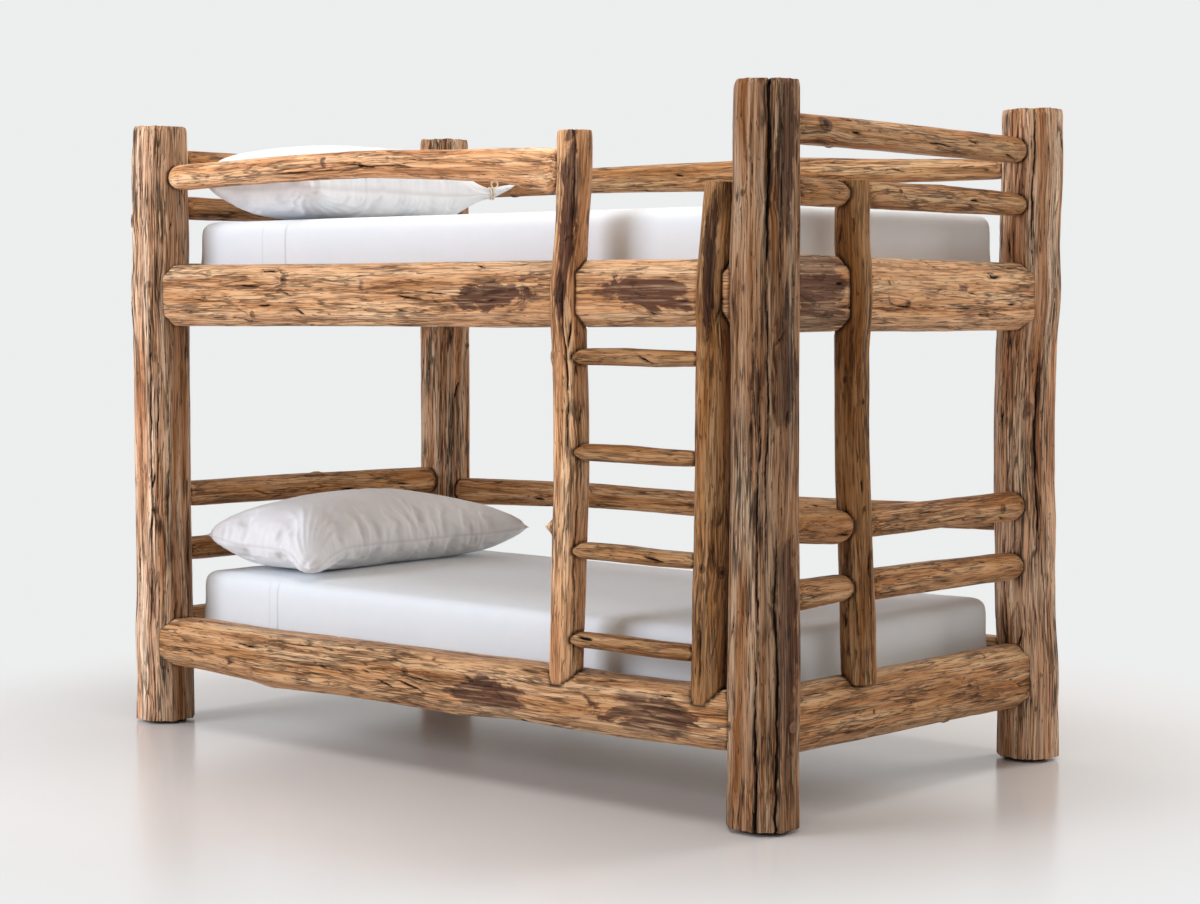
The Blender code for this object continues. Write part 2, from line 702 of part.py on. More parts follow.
def make_foot_end(bench, end_rails):
    """The foot end's upright, its top guard in one length and its three guards in two pieces each."""
    half = UPRIGHT_HALF
    foot = end_rails["lower_end_rail_foot"].start.z + LOWER_END_HALF - UPRIGHT_FOOT_DEPTH
    second_z = UPPER_RAIL_TOP + SECOND_GUARD_RISE
    upright = Upright(
        "foot_upright", (UPRIGHT_X, FOOT_UPRIGHT_Y), foot, second_z + FOOT_UPRIGHT_RISE, (
            (0.00, 0.000, 0.027, half, half + 0.004), (0.16, 0.000, 0.017, half, half + 0.003),
            (0.33, 0.000, 0.003, half, half - 0.003), (0.48, 0.000, -0.008, half, half - 0.003),
            (0.70, 0.000, -0.014, half, half - 0.001), (0.88, 0.000, -0.013, half, half + 0.001),
            (1.00, 0.000, -0.014, half - 0.002, half + 0.001),
        ), RAIL_WOOD, 60, None, POST_TOP_EASE,
    )
    bench.add(upright.name, upright.solid(), Vector((UPRIGHT_X, FOOT_UPRIGHT_Y, foot)), upright.finish)
    bench.cut("lower_end_rail_foot", upright.solid(FIT))
    cross_lap(bench, upright, end_rails["upper_end_rail_foot"], X_AXIS)

    thick = GUARD_HALF
    top = along_y("foot_guard_top", 1, UPPER_RAIL_TOP + TOP_GUARD_RISE, (
        (0.00, 0.001, thick - 0.001, thick), (0.35, 0.000, thick, thick),
        (0.70, -0.003, thick - 0.002, thick), (1.00, -0.006, thick - 0.002, thick),
    ), 61)
    add_rail(bench, top, "post_foot_front", "post_foot_back")

    split_guards = (
        ("second", second_z,
         ((0.00, 0.001, thick - 0.003, thick - 0.002), (1.00, -0.002, thick - 0.004, thick - 0.002)),
         ((0.00, -0.001, thick - 0.004, thick - 0.002), (0.50, 0.001, thick - 0.003, thick),
          (1.00, -0.003, thick - 0.007, thick - 0.002))),
        ("high", LOWER_RAIL_TOP + FOOT_HIGH_GUARD_RISE,
         ((0.00, 0.005, thick + 0.005, thick + 0.002), (1.00, -0.005, thick + 0.006, thick + 0.002)),
         ((0.00, -0.004, thick + 0.001, thick), (0.50, -0.006, thick, thick),
          (1.00, -0.010, thick + 0.003, thick))),
        ("low", LOWER_RAIL_TOP + FOOT_LOW_GUARD_RISE,
         ((0.00, 0.000, thick + 0.001, thick), (1.00, 0.003, thick - 0.004, thick - 0.002)),
         ((0.00, 0.001, thick + 0.003, thick), (0.50, -0.004, thick + 0.001, thick),
          (1.00, -0.012, thick, thick))),
    )
    seed = 62
    for word, z, front_stations, back_stations in split_guards:
        axis = upright.centre(z)
        pieces = (
            (f"foot_guard_{word}_front", Vector((HALF_X, -HALF_Y, z)), axis, GUARD_SEAT, UPRIGHT_SEAT,
             front_stations, "post_foot_front", upright.name),
            (f"foot_guard_{word}_back", axis, Vector((HALF_X, HALF_Y, z)), UPRIGHT_SEAT, GUARD_SEAT,
             back_stations, upright.name, "post_foot_back"),
        )
        for name, start, end, start_seat, end_seat, stations, start_carrier, end_carrier in pieces:
            rail = Rail(name, start, end, start_seat, end_seat, stations, RAIL_WOOD, seed)
            add_rail(bench, rail, start_carrier, end_carrier)
            seed += 1


def cross_lap(bench, upright, rail, outward):
    """Half-lap a standing log over the outside of a rail and screw it from inside.

    The standing log keeps its outer half, and the rail loses what that half fills.
    """
    middle = upright.centre(rail.start.z)
    bench.cut(upright.name, clip(rail.solid(FIT), middle, outward), 1)
    bench.cut(rail.name, clip(upright.solid(FIT), middle - outward * FIT, -outward), 1)
    half_width = rail.stations[0][3]
    to_rail = (rail.start - middle).dot(outward)
    seat = middle + outward * (to_rail - half_width + LAP_SCREW_HEAD_HEIGHT)
    seat.z += LAP_SCREW_RISE
    reach = (middle - seat).dot(outward) + LAP_SCREW_BITE
    size = (LAP_SCREW_RADIUS, reach, LAP_SCREW_HEAD_RADIUS, LAP_SCREW_HEAD_HEIGHT, BOLT_SIDES)
    bench.add(f"lap_screw_{upright.name}", headed_bar(seat, outward, *size), seat, STEEL)
    for name in (upright.name, rail.name):
        bench.cut(name, headed_bar(seat, outward, *size, grow=FIT), 2)


def make_ladder(bench, side_rails):
    """The two ladder stiles, the rungs between them and the guard rail that ends on the left stile."""
    half = UPRIGHT_HALF
    upper = side_rails["upper_side_rail_front"]
    lower = side_rails["lower_side_rail_front"]
    foot = LOWER_RAIL_TOP - STILE_FOOT_DEPTH
    guard_z = UPPER_RAIL_TOP + FRONT_GUARD_RISE
    left = Upright(
        "ladder_stile_left", (LEFT_STILE_X, STILE_Y), foot, guard_z + LEFT_STILE_RISE, (
            (0.00, -0.015, 0.0, half - 0.001, half), (0.15, -0.009, 0.0, half + 0.002, half),
            (0.29, -0.002, 0.0, half + 0.002, half), (0.40, 0.003, 0.0, half + 0.003, half),
            (0.53, -0.001, 0.0, half, half), (0.65, -0.006, 0.0, half + 0.001, half),
            (0.76, 0.000, 0.0, half, half), (0.86, 0.006, 0.0, half - 0.001, half),
            (1.00, 0.014, 0.0, half + 0.003, half - 0.001),
        ), RAIL_WOOD, 70, None, POST_TOP_EASE,
    )
    right = Upright(
        "ladder_stile_right", (RIGHT_STILE_X, STILE_Y), foot, UPPER_RAIL_TOP + RIGHT_STILE_RISE, (
            (0.00, -0.010, 0.0, half, half), (0.22, -0.004, 0.0, half + 0.001, half),
            (0.37, 0.002, 0.0, half, half), (0.52, -0.001, 0.0, half, half),
            (0.76, 0.004, 0.0, half - 0.001, half), (0.90, 0.011, 0.0, half - 0.005, half - 0.002),
            (1.00, 0.017, 0.0, half - 0.010, half - 0.006),
        ), RAIL_WOOD, 71, None, POST_TOP_EASE,
    )
    for stile in (left, right):
        origin = Vector((stile.plan[0], stile.plan[1], foot))
        bench.add(stile.name, stile.solid(), origin, stile.finish)
        bench.cut(lower.name, stile.solid(FIT))
        cross_lap(bench, stile, upper, -Y_AXIS)

    wide = RUNG_HALF_DEPTH
    tall = RUNG_HALF_HEIGHT
    clear_height = UPPER_RAIL_TOP - 2 * UPPER_RAIL_HALF - LOWER_RAIL_TOP
    for count, place in enumerate(RUNG_PLACES, start=1):
        z = LOWER_RAIL_TOP + place * clear_height
        stations = (
            (0.00, 0.000, tall, wide), (0.35, 0.001, tall + 0.001, wide),
            (0.70, -0.001, tall, wide), (1.00, 0.000, tall - 0.001, wide),
        )
        rung = Rail(
            f"ladder_rung_{count}", left.centre(z), right.centre(z), RUNG_SEAT, RUNG_SEAT, stations,
            RAIL_WOOD, 72 + count,
        )
        add_rail(bench, rung, left.name, right.name)

    thick = GUARD_HALF
    guard = Rail(
        "front_guard_rail", Vector((-HALF_X, -HALF_Y, guard_z)), left.centre(guard_z),
        GUARD_SEAT, UPRIGHT_SEAT, (
            (0.00, 0.000, thick + 0.001, thick), (0.36, 0.009, thick - 0.002, thick),
            (0.57, 0.008, thick + 0.001, thick), (0.76, -0.005, thick + 0.003, thick),
            (0.88, -0.011, thick + 0.006, thick + 0.002), (1.00, -0.033, thick + 0.023, thick + 0.004),
        ), RAIL_WOOD, 80,
    )
    add_rail(bench, guard, "post_head_front", left.name)


def make_bolts(bench, side_rails):
    """A lag bolt through each post into each end of the side rails, its head sunk in the post."""
    seat_out = POST_SIZE / 2 - BOLT_RECESS
    length = seat_out + POST_SIZE / 2 + BOLT_REACH
    size = (BOLT_RADIUS, length, BOLT_HEAD_RADIUS, BOLT_HEAD_HEIGHT, BOLT_SIDES)
    for rail in side_rails.values():
        level, side = rail.name.split("_")[0], rail.name.split("_")[-1]
        for end, x_side in (("head", -1), ("foot", 1)):
            station = rail.stations[0] if x_side < 0 else rail.stations[-1]
            middle = Vector((x_side * HALF_X, rail.start.y, rail.start.z + station[1]))
            inward = X_AXIS * -x_side
            seat = middle - inward * seat_out
            bench.add(f"bolt_{level}_{end}_{side}", headed_bar(seat, inward, *size), seat, STEEL)
            hole = headed_bar(seat, inward, *size, grow=FIT)
            post = f"post_{end}_{side}"
            bench.cut(post, hole, 1)
            mouth = seat - inward * BOLT_HEAD_HEIGHT / 2
            outside = middle - inward * (POST_SIZE / 2 + 2 * POST_SWELL)
            bench.cut(post, prism(mouth, outside, BOLT_HEAD_RADIUS + FIT, BOLT_SIDES), 2)
            bench.cut(rail.name, hole, 3)


def make_decks(bench):
    """A cleat on each side rail and a roll of slats on each pair of cleats."""
    post_face = HALF_X - POST_SIZE / 2
    for level, deck, thickness in (
        ("upper", UPPER_DECK, UPPER_RAIL_THICKNESS), ("lower", LOWER_DECK, LOWER_RAIL_THICKNESS),
    ):
        face = HALF_Y - thickness / 2
        slat_low = deck - SLAT_THICKNESS
        cleat_top = slat_low - FIT
        cleat_end = post_face - POST_SWELL - CLEAT_MARGIN
        for side, word in ((-1, "front"), (1, "back")):
            outer = side * (face - FIT)
            inner = side * (face - FIT - CLEAT_SIZE)
            low = Vector((-cleat_end, min(outer, inner), cleat_top - CLEAT_SIZE))
            high = Vector((cleat_end, max(outer, inner), cleat_top))
            bench.add(f"{level}_cleat_{word}", box(low, high), (low + high) / 2, SAWN_WOOD, 0)
        add_slat_roll(bench, level, slat_low, face)


def add_slat_roll(bench, level, slat_low, face):
    """Slats across the bed, held at their spacing by two straps stapled under them."""
    half_slat = face - SLAT_END_GAP
    first = HALF_X - POST_SIZE / 2 - POST_SWELL - SLAT_MARGIN - SLAT_WIDTH / 2
    step = 2 * first / (SLAT_COUNT - 1)
    slats = []
    for i in range(SLAT_COUNT):
        middle = -first + i * step
        low = Vector((middle - SLAT_WIDTH / 2, -half_slat, slat_low))
        high = Vector((middle + SLAT_WIDTH / 2, half_slat, slat_low + SLAT_THICKNESS))
        slats.append(box(low, high))
    name = f"{level}_slat_roll"
    bench.add(name, join(slats), Vector((0, 0, slat_low)), SAWN_WOOD, 0)
    reach = first + SLAT_WIDTH / 4
    for side in (-1, 1):
        middle = side * STRAP_INSET
        low = Vector((-reach, middle - STRAP_WIDTH / 2, slat_low - STRAP_THICKNESS / 2))
        high = Vector((reach, middle + STRAP_WIDTH / 2, slat_low + STRAP_THICKNESS / 2))
        bench.unite(name, box(low, high))


def rounded_ring(half_x, half_y, radius, z):
    """A rectangle in plan with round corners."""
    corner_points = 5
    ring = []
    for side_x, side_y, turn in ((1, 1, 0), (-1, 1, 1), (-1, -1, 2), (1, -1, 3)):
        middle = Vector((side_x * (half_x - radius), side_y * (half_y - radius), z))
        for k in range(corner_points):
            angle = math.pi / 2 * (turn + k / (corner_points - 1))
            ring.append(middle + Vector((math.cos(angle), math.sin(angle), 0)) * radius)
    return ring


def mattress_solid(low, lift=0.0):
    """A mattress with eased edges, full sides and a crowned top."""
    edge = MATTRESS_EDGE
    height = MATTRESS_HEIGHT
    crown = MATTRESS_CROWN
    middle = MATTRESS_WIDTH / 2
    profile = (
        (0.60 * edge, 0.0), (0.18 * edge, 0.20 * edge), (0.0, 0.80 * edge),
        (0.0, height - crown - 0.95 * edge), (0.16 * edge, height - crown - 0.32 * edge),
        (0.60 * edge, height - crown - 0.06 * edge), (1.60 * edge, height - 0.85 * crown),
        (0.45 * middle, height - 0.30 * crown), (0.80 * middle, height),
    )
    rings = []
    for inset, z in profile:
        half_x = MATTRESS_LENGTH / 2 - inset
        half_y = MATTRESS_WIDTH / 2 - inset
        radius = max(MATTRESS_CORNER - 0.5 * inset, MATTRESS_CORNER / 2)
        rings.append(rounded_ring(half_x, half_y, radius, low + z + lift))
    return loft(rings)


def pillow_point(u, v, top, middle, low):
    """One point of a pillow's skin, for u and v from -1 to 1 across its width and length."""
    half_x = PILLOW_WIDTH / 2 * (1 - PILLOW_DRAW * (1 - v * v))
    half_y = PILLOW_LENGTH / 2 * (1 - PILLOW_DRAW * (1 - u * u))
    swell = ((1 - u ** 4) * (1 - v ** 6)) ** 0.55
    if top:
        z = PILLOW_SEAM + (PILLOW_THICKNESS - PILLOW_SEAM) * swell
    else:
        z = PILLOW_SEAM - (PILLOW_SEAM + PILLOW_SIT) * swell
    return Vector((middle.x + u * half_x, middle.y + v * half_y, low + z))


def pillow_solid(middle, low):
    """A pillow with pointed corners, drawn-in sides and a full crown, seamed round its edge."""
    points = []
    index = {}
    for top in (True, False):
        for i in range(PILLOW_CELLS_WIDE + 1):
            for j in range(PILLOW_CELLS_LONG + 1):
                rim = i in (0, PILLOW_CELLS_WIDE) or j in (0, PILLOW_CELLS_LONG)
                if rim and not top:
                    index[(i, j, top)] = index[(i, j, True)]
                    continue
                u = 2 * i / PILLOW_CELLS_WIDE - 1
                v = 2 * j / PILLOW_CELLS_LONG - 1
                index[(i, j, top)] = len(points)
                points.append(pillow_point(u, v, top, middle, low))
    faces = []
    for top in (True, False):
        for i in range(PILLOW_CELLS_WIDE):
            for j in range(PILLOW_CELLS_LONG):
                loop = ((i, j), (i + 1, j), (i + 1, j + 1), (i, j + 1))
                faces.append(tuple(index[(a, b, top)] for a, b in loop))
    return Solid(points, faces)


def make_bedding(bench):
    """A mattress and a pillow on each deck; each pillow settles on its mattress."""
    head = -MATTRESS_LENGTH / 2 + PILLOW_HEAD_GAP + PILLOW_WIDTH / 2
    for level, deck, shift in (
        ("upper", UPPER_DECK, PILLOW_SHIFT_UPPER), ("lower", LOWER_DECK, PILLOW_SHIFT_LOWER),
    ):
        low = deck + FIT
        bench.add(f"{level}_mattress", mattress_solid(low), Vector((0, 0, low)), SHEET, 60)
        middle = Vector((head, shift, low + MATTRESS_HEIGHT))
        pillow = f"{level}_pillow"
        bench.add(pillow, pillow_solid(middle, middle.z), middle, PILLOW_CASE, 60)
        bench.cut(pillow, mattress_solid(low, FIT))


def place_bedding(built):
    """Parent each pillow to its mattress and each mattress to an empty on its lift axis."""
    for level in ("upper", "lower"):
        mattress = built[f"{level}_mattress"]
        pillow = built[f"{level}_pillow"]
        lift = bpy.data.objects.new(f"{level}_lift", None)
        lift.location = mattress.location
        bpy.context.scene.collection.objects.link(lift)
        pillow.location = pillow.location - mattress.location
        pillow.parent = mattress
        mattress.parent = lift
        mattress.location = (0, 0, 0)


def clear_scene():
    """Start from an empty scene."""
    for thing in list(bpy.data.objects):
        bpy.data.objects.remove(thing, do_unlink=True)


def main():
    """Build the whole bed."""
    clear_scene()
    bench = Bench()
    make_posts(bench)
    side_rails = make_side_rails(bench)
    end_rails = make_end_rails(bench)
    make_back_guards(bench)
    make_head_guards(bench)
    make_foot_end(bench, end_rails)
    make_ladder(bench, side_rails)
    make_bolts(bench, side_rails)
    make_decks(bench)
    make_bedding(bench)
    place_bedding(bench.build())


main()
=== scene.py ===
"""Looks of the rustic log bunk bed: weathered hewn logs, two made-up beds and a pale studio.

Units are metres in the CAD frame: +X is the foot end, -Y the ladder side and +Z up. Every log is skinned
over its CAD solid, and its cracks, knots, stains and wear are laid out along the log's own grain.
"""

import json
import logging
import math
from dataclasses import dataclass, field
from enum import Enum
from typing import Any, Optional

import bmesh
import bpy
import numpy as np
from bpy.types import Material, Mesh, Node, NodeSocket, NodeTree, Object
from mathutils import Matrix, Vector
from mathutils.bvhtree import BVHTree

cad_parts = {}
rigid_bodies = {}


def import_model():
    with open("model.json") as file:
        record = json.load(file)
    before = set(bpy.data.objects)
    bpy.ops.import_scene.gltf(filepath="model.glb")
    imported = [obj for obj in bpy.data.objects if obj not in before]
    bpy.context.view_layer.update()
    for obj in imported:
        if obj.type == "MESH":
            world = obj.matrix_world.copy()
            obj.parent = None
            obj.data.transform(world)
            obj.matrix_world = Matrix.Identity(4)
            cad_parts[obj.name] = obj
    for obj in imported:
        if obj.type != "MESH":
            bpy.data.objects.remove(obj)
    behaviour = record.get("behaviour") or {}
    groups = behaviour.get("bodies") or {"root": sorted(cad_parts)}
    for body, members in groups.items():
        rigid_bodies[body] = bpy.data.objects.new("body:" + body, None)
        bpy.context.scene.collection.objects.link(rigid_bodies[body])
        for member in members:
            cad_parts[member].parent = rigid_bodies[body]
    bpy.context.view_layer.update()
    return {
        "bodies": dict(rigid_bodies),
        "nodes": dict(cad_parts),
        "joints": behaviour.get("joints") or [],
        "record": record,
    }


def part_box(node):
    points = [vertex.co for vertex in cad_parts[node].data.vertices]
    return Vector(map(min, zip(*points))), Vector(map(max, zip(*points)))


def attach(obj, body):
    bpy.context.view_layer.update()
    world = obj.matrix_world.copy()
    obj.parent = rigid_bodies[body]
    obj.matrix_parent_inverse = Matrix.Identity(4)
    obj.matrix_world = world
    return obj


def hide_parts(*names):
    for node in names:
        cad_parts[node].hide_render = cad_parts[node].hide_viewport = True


Array = np.ndarray
Pair = tuple[float, float]

REPORT = logging.getLogger("bunk_bed")
MAP_NAME = "OFBake"  # the log's own unrolled map
FAR_FROM_KNOT = 9.0  # knot attribute where no knot is near, in knot radii
CHECK_SPAN = 0.008  # distance from a crack's edge over which the check attribute falls by 1
NO_CHECK = -1.0  # check attribute where no crack is near
TINY = 1e-9  # keeps a division from meeting zero
LONGEST_LOG = 1.6  # a longer log's cracks get no longer
KNOT_MARGIN = 0.06  # clear of knots at a log's ends

# Ranges that a log's random cracks and knots are drawn from. A long crack's run is a share of the log.
LONG_RUN, LONG_WIDTH = (0.10, 0.42), (0.0009, 0.0020)
SHORT_RUN, SHORT_WIDTH, SHORT_SLOPE = (0.022, 0.075), (0.0018, 0.0032), (-0.1, 0.45)
KNOT_RADIUS = (0.005, 0.011)

# A pillow's corners: foot front, foot back, head front and head back.
CORNERS = ((1, -1), (1, 1), (-1, -1), (-1, 1))

# Numbers of a colour Mix node's inputs, and of its output.
MIX_FACTOR, MIX_A, MIX_B, MIX_COLOUR = 0, 6, 7, 2


def linear(hex_colour: str) -> tuple[float, float, float, float]:
    """Turn an sRGB colour into linear light.

    Args:
        hex_colour: the colour, such as #B08560.

    Returns:
        Linear red, green, blue and an alpha of 1.
    """
    channels = [int(hex_colour[i:i + 2], 16) / 255 for i in (1, 3, 5)]
    straight = [c / 12.92 if c <= 0.04045 else ((c + 0.055) / 1.055) ** 2.4 for c in channels]
    return (*straight, 1.0)


def add_node(tree: NodeTree, kind: str, settings: Optional[dict] = None,
             inputs: Optional[dict] = None) -> Node:
    """Add a node to a tree, with its settings and inputs.

    Args:
        tree: the tree that gets the node.
        kind: Blender's name of the node type.
        settings: property name to value.
        inputs: input name or number to a value, or to an output that is linked to it.

    Returns:
        The new node.
    """
    node = tree.nodes.new(kind)
    for key, value in (settings or {}).items():
        setattr(node, key, value)
    for key, value in (inputs or {}).items():
        if isinstance(value, NodeSocket):
            tree.links.new(value, node.inputs[key])
        else:
            node.inputs[key].default_value = value
    return node


def math_node(tree: NodeTree, operation: str, *values: Any) -> NodeSocket:
    """Add a Math node with its inputs in order, each a number or an output, and give its own output."""
    return add_node(tree, "ShaderNodeMath", {"operation": operation}, dict(enumerate(values))).outputs[0]


def ridge_of(tree: NodeTree, value: NodeSocket, level: float) -> NodeSocket:
    """Distance of a value from a level, which is small along thin lines."""
    return math_node(tree, "ABSOLUTE", math_node(tree, "SUBTRACT", value, level))


def map_range(tree: NodeTree, value: NodeSocket, low: float, high: float,
              out_low: float = 0.0, out_high: float = 1.0, curve: str = "LINEAR") -> NodeSocket:
    """Add a Map Range node, which goes no further than its ends.

    Args:
        tree: the tree that gets the node.
        value: the output that is mapped.
        low: the value that gives out_low.
        high: the value that gives out_high.
        out_low: the result at low.
        out_high: the result at high.
        curve: Blender's name of the way between them.

    Returns:
        Its output.
    """
    node = add_node(tree, "ShaderNodeMapRange", {"interpolation_type": curve}, {
        "Value": value, "From Min": low, "From Max": high, "To Min": out_low, "To Max": out_high})
    return node.outputs["Result"]


def mix_colour(tree: NodeTree, share: NodeSocket, first: Any, second: Any) -> NodeSocket:
    """Add a node that mixes two colours by the second one's share, and give the mixed colour."""
    node = add_node(tree, "ShaderNodeMix", {"data_type": "RGBA"}, {
        MIX_FACTOR: share, MIX_A: first, MIX_B: second})
    return node.outputs[MIX_COLOUR]


def stretched_noise(tree: NodeTree, place: NodeSocket, scale: tuple[float, float, float], detail: float,
                    roughness: float = 0.5, distortion: float = 0.0) -> Node:
    """Add noise that is stretched along the axes.

    Args:
        tree: the tree that gets the nodes.
        place: the coordinates.
        scale: waves for each metre along each axis.
        detail: number of finer octaves.
        roughness: how strong they are.
        distortion: how much the noise swirls.

    Returns:
        The noise node.
    """
    stretched = add_node(tree, "ShaderNodeMapping", {}, {"Vector": place, "Scale": scale})
    return add_node(tree, "ShaderNodeTexNoise", {}, {
        "Vector": stretched.outputs["Vector"], "Scale": 1.0, "Detail": detail, "Roughness": roughness,
        "Distortion": distortion})


def empty_material(name: str) -> tuple[Material, NodeTree]:
    """Make a material with nothing in its tree.

    Args:
        name: the material's name.

    Returns:
        The material and its node tree.
    """
    material = bpy.data.materials.new(name)
    material.use_nodes = True
    material.node_tree.nodes.clear()
    return material, material.node_tree


def end_surface(tree: NodeTree, inputs: dict[str, Any]) -> None:
    """End a material's tree with a principled surface that has these inputs."""
    shader = add_node(tree, "ShaderNodeBsdfPrincipled", {}, inputs)
    add_node(tree, "ShaderNodeOutputMaterial", {}, {"Surface": shader.outputs["BSDF"]})


def shape_tree(name: str, inputs: dict[str, str]) -> tuple[NodeTree, Any]:
    """Start a Geometry Nodes tree.

    Args:
        name: the tree's name.
        inputs: name of each input besides the geometry, to the last word of its socket type.

    Returns:
        The tree, and the outputs of its input node.
    """
    tree = bpy.data.node_groups.new(name, "GeometryNodeTree")
    for word, kind in {"Geometry": "Geometry", **inputs}.items():
        tree.interface.new_socket(word, in_out="INPUT", socket_type=f"NodeSocket{kind}")
    tree.interface.new_socket("Geometry", in_out="OUTPUT", socket_type="NodeSocketGeometry")
    return tree, add_node(tree, "NodeGroupInput").outputs


def named_attribute(tree: NodeTree, name: str, kind: str) -> NodeSocket:
    """Add a Geometry Nodes node that reads an attribute of this name and kind."""
    node = add_node(tree, "GeometryNodeInputNamedAttribute", {"data_type": kind}, {"Name": name})
    return node.outputs["Attribute"]


def end_shape(tree: NodeTree, geometry: NodeSocket, material: NodeSocket) -> None:
    """End a Geometry Nodes tree: make its instances real and give them their material.

    Args:
        tree: the tree.
        geometry: the output that holds the shape.
        material: the output that holds the material.
    """
    real = add_node(tree, "GeometryNodeRealizeInstances", {}, {"Geometry": geometry})
    dressed = add_node(tree, "GeometryNodeSetMaterial", {}, {
        "Geometry": real.outputs["Geometry"], "Material": material})
    add_node(tree, "NodeGroupOutput", {}, {"Geometry": dressed.outputs["Geometry"]})


def link_object(name: str, mesh: Mesh) -> Object:
    """Put a mesh in the scene as an object at the origin.

    Args:
        name: the object's name.
        mesh: its mesh.

    Returns:
        The object.
    """
    thing = bpy.data.objects.new(name, mesh)
    bpy.context.scene.collection.objects.link(thing)
    return thing


def bake_modifiers(thing: Object) -> None:
    """Turn an object with modifiers into a plain mesh with its attributes kept.

    Args:
        thing: the object, whose old mesh is removed.
    """
    graph = bpy.context.evaluated_depsgraph_get()
    done = bpy.data.meshes.new_from_object(
        thing.evaluated_get(graph), preserve_all_data_layers=True, depsgraph=graph)
    thing.modifiers.clear()
    old = thing.data
    thing.data = done
    done.name = thing.name
    bpy.data.meshes.remove(old)


def run_tree(thing: Object, tree: NodeTree, values: dict[str, Any]) -> None:
    """Run a Geometry Nodes tree on an object and keep the result as its plain mesh.

    Args:
        thing: the object.
        tree: the tree.
        values: input name to its value, which is set through the socket's identifier.
    """
    modifier = thing.modifiers.new(tree.name, "NODES")
    modifier.node_group = tree
    sockets = {item.name: item.identifier for item in tree.interface.items_tree
               if item.item_type == "SOCKET" and item.in_out == "INPUT"}
    for name, value in values.items():
        modifier[sockets[name]] = value
    bake_modifiers(thing)


def read_points(mesh: Mesh, word: str = "co") -> Array:
    """Read the place, or the normal, of every point of a mesh.

    Args:
        mesh: the mesh.
        word: co for the places, normal for the normals.

    Returns:
        One row of three for each point.
    """
    values = np.empty(len(mesh.vertices) * 3)
    mesh.vertices.foreach_get(word, values)
    return values.reshape(-1, 3)


def move_points(thing: Object, points: Array) -> None:
    """Set the points of an object's mesh."""
    thing.data.vertices.foreach_set("co", points.astype(np.float32).ravel())
    thing.data.update()


def write_attribute(mesh: Mesh, name: str, values: Array) -> None:
    """Store a number at each point of a mesh."""
    mesh.attributes.new(name, "FLOAT", "POINT").data.foreach_set("value", values.astype(np.float32))


def read_attribute(mesh: Mesh, name: str) -> Array:
    """Read the number stored at each point of a mesh.

    Args:
        mesh: the mesh.
        name: the attribute's name.

    Returns:
        One number for each point.
    """
    values = np.empty(len(mesh.vertices), dtype=np.float32)
    mesh.attributes[name].data.foreach_get("value", values)
    return values.astype(float)


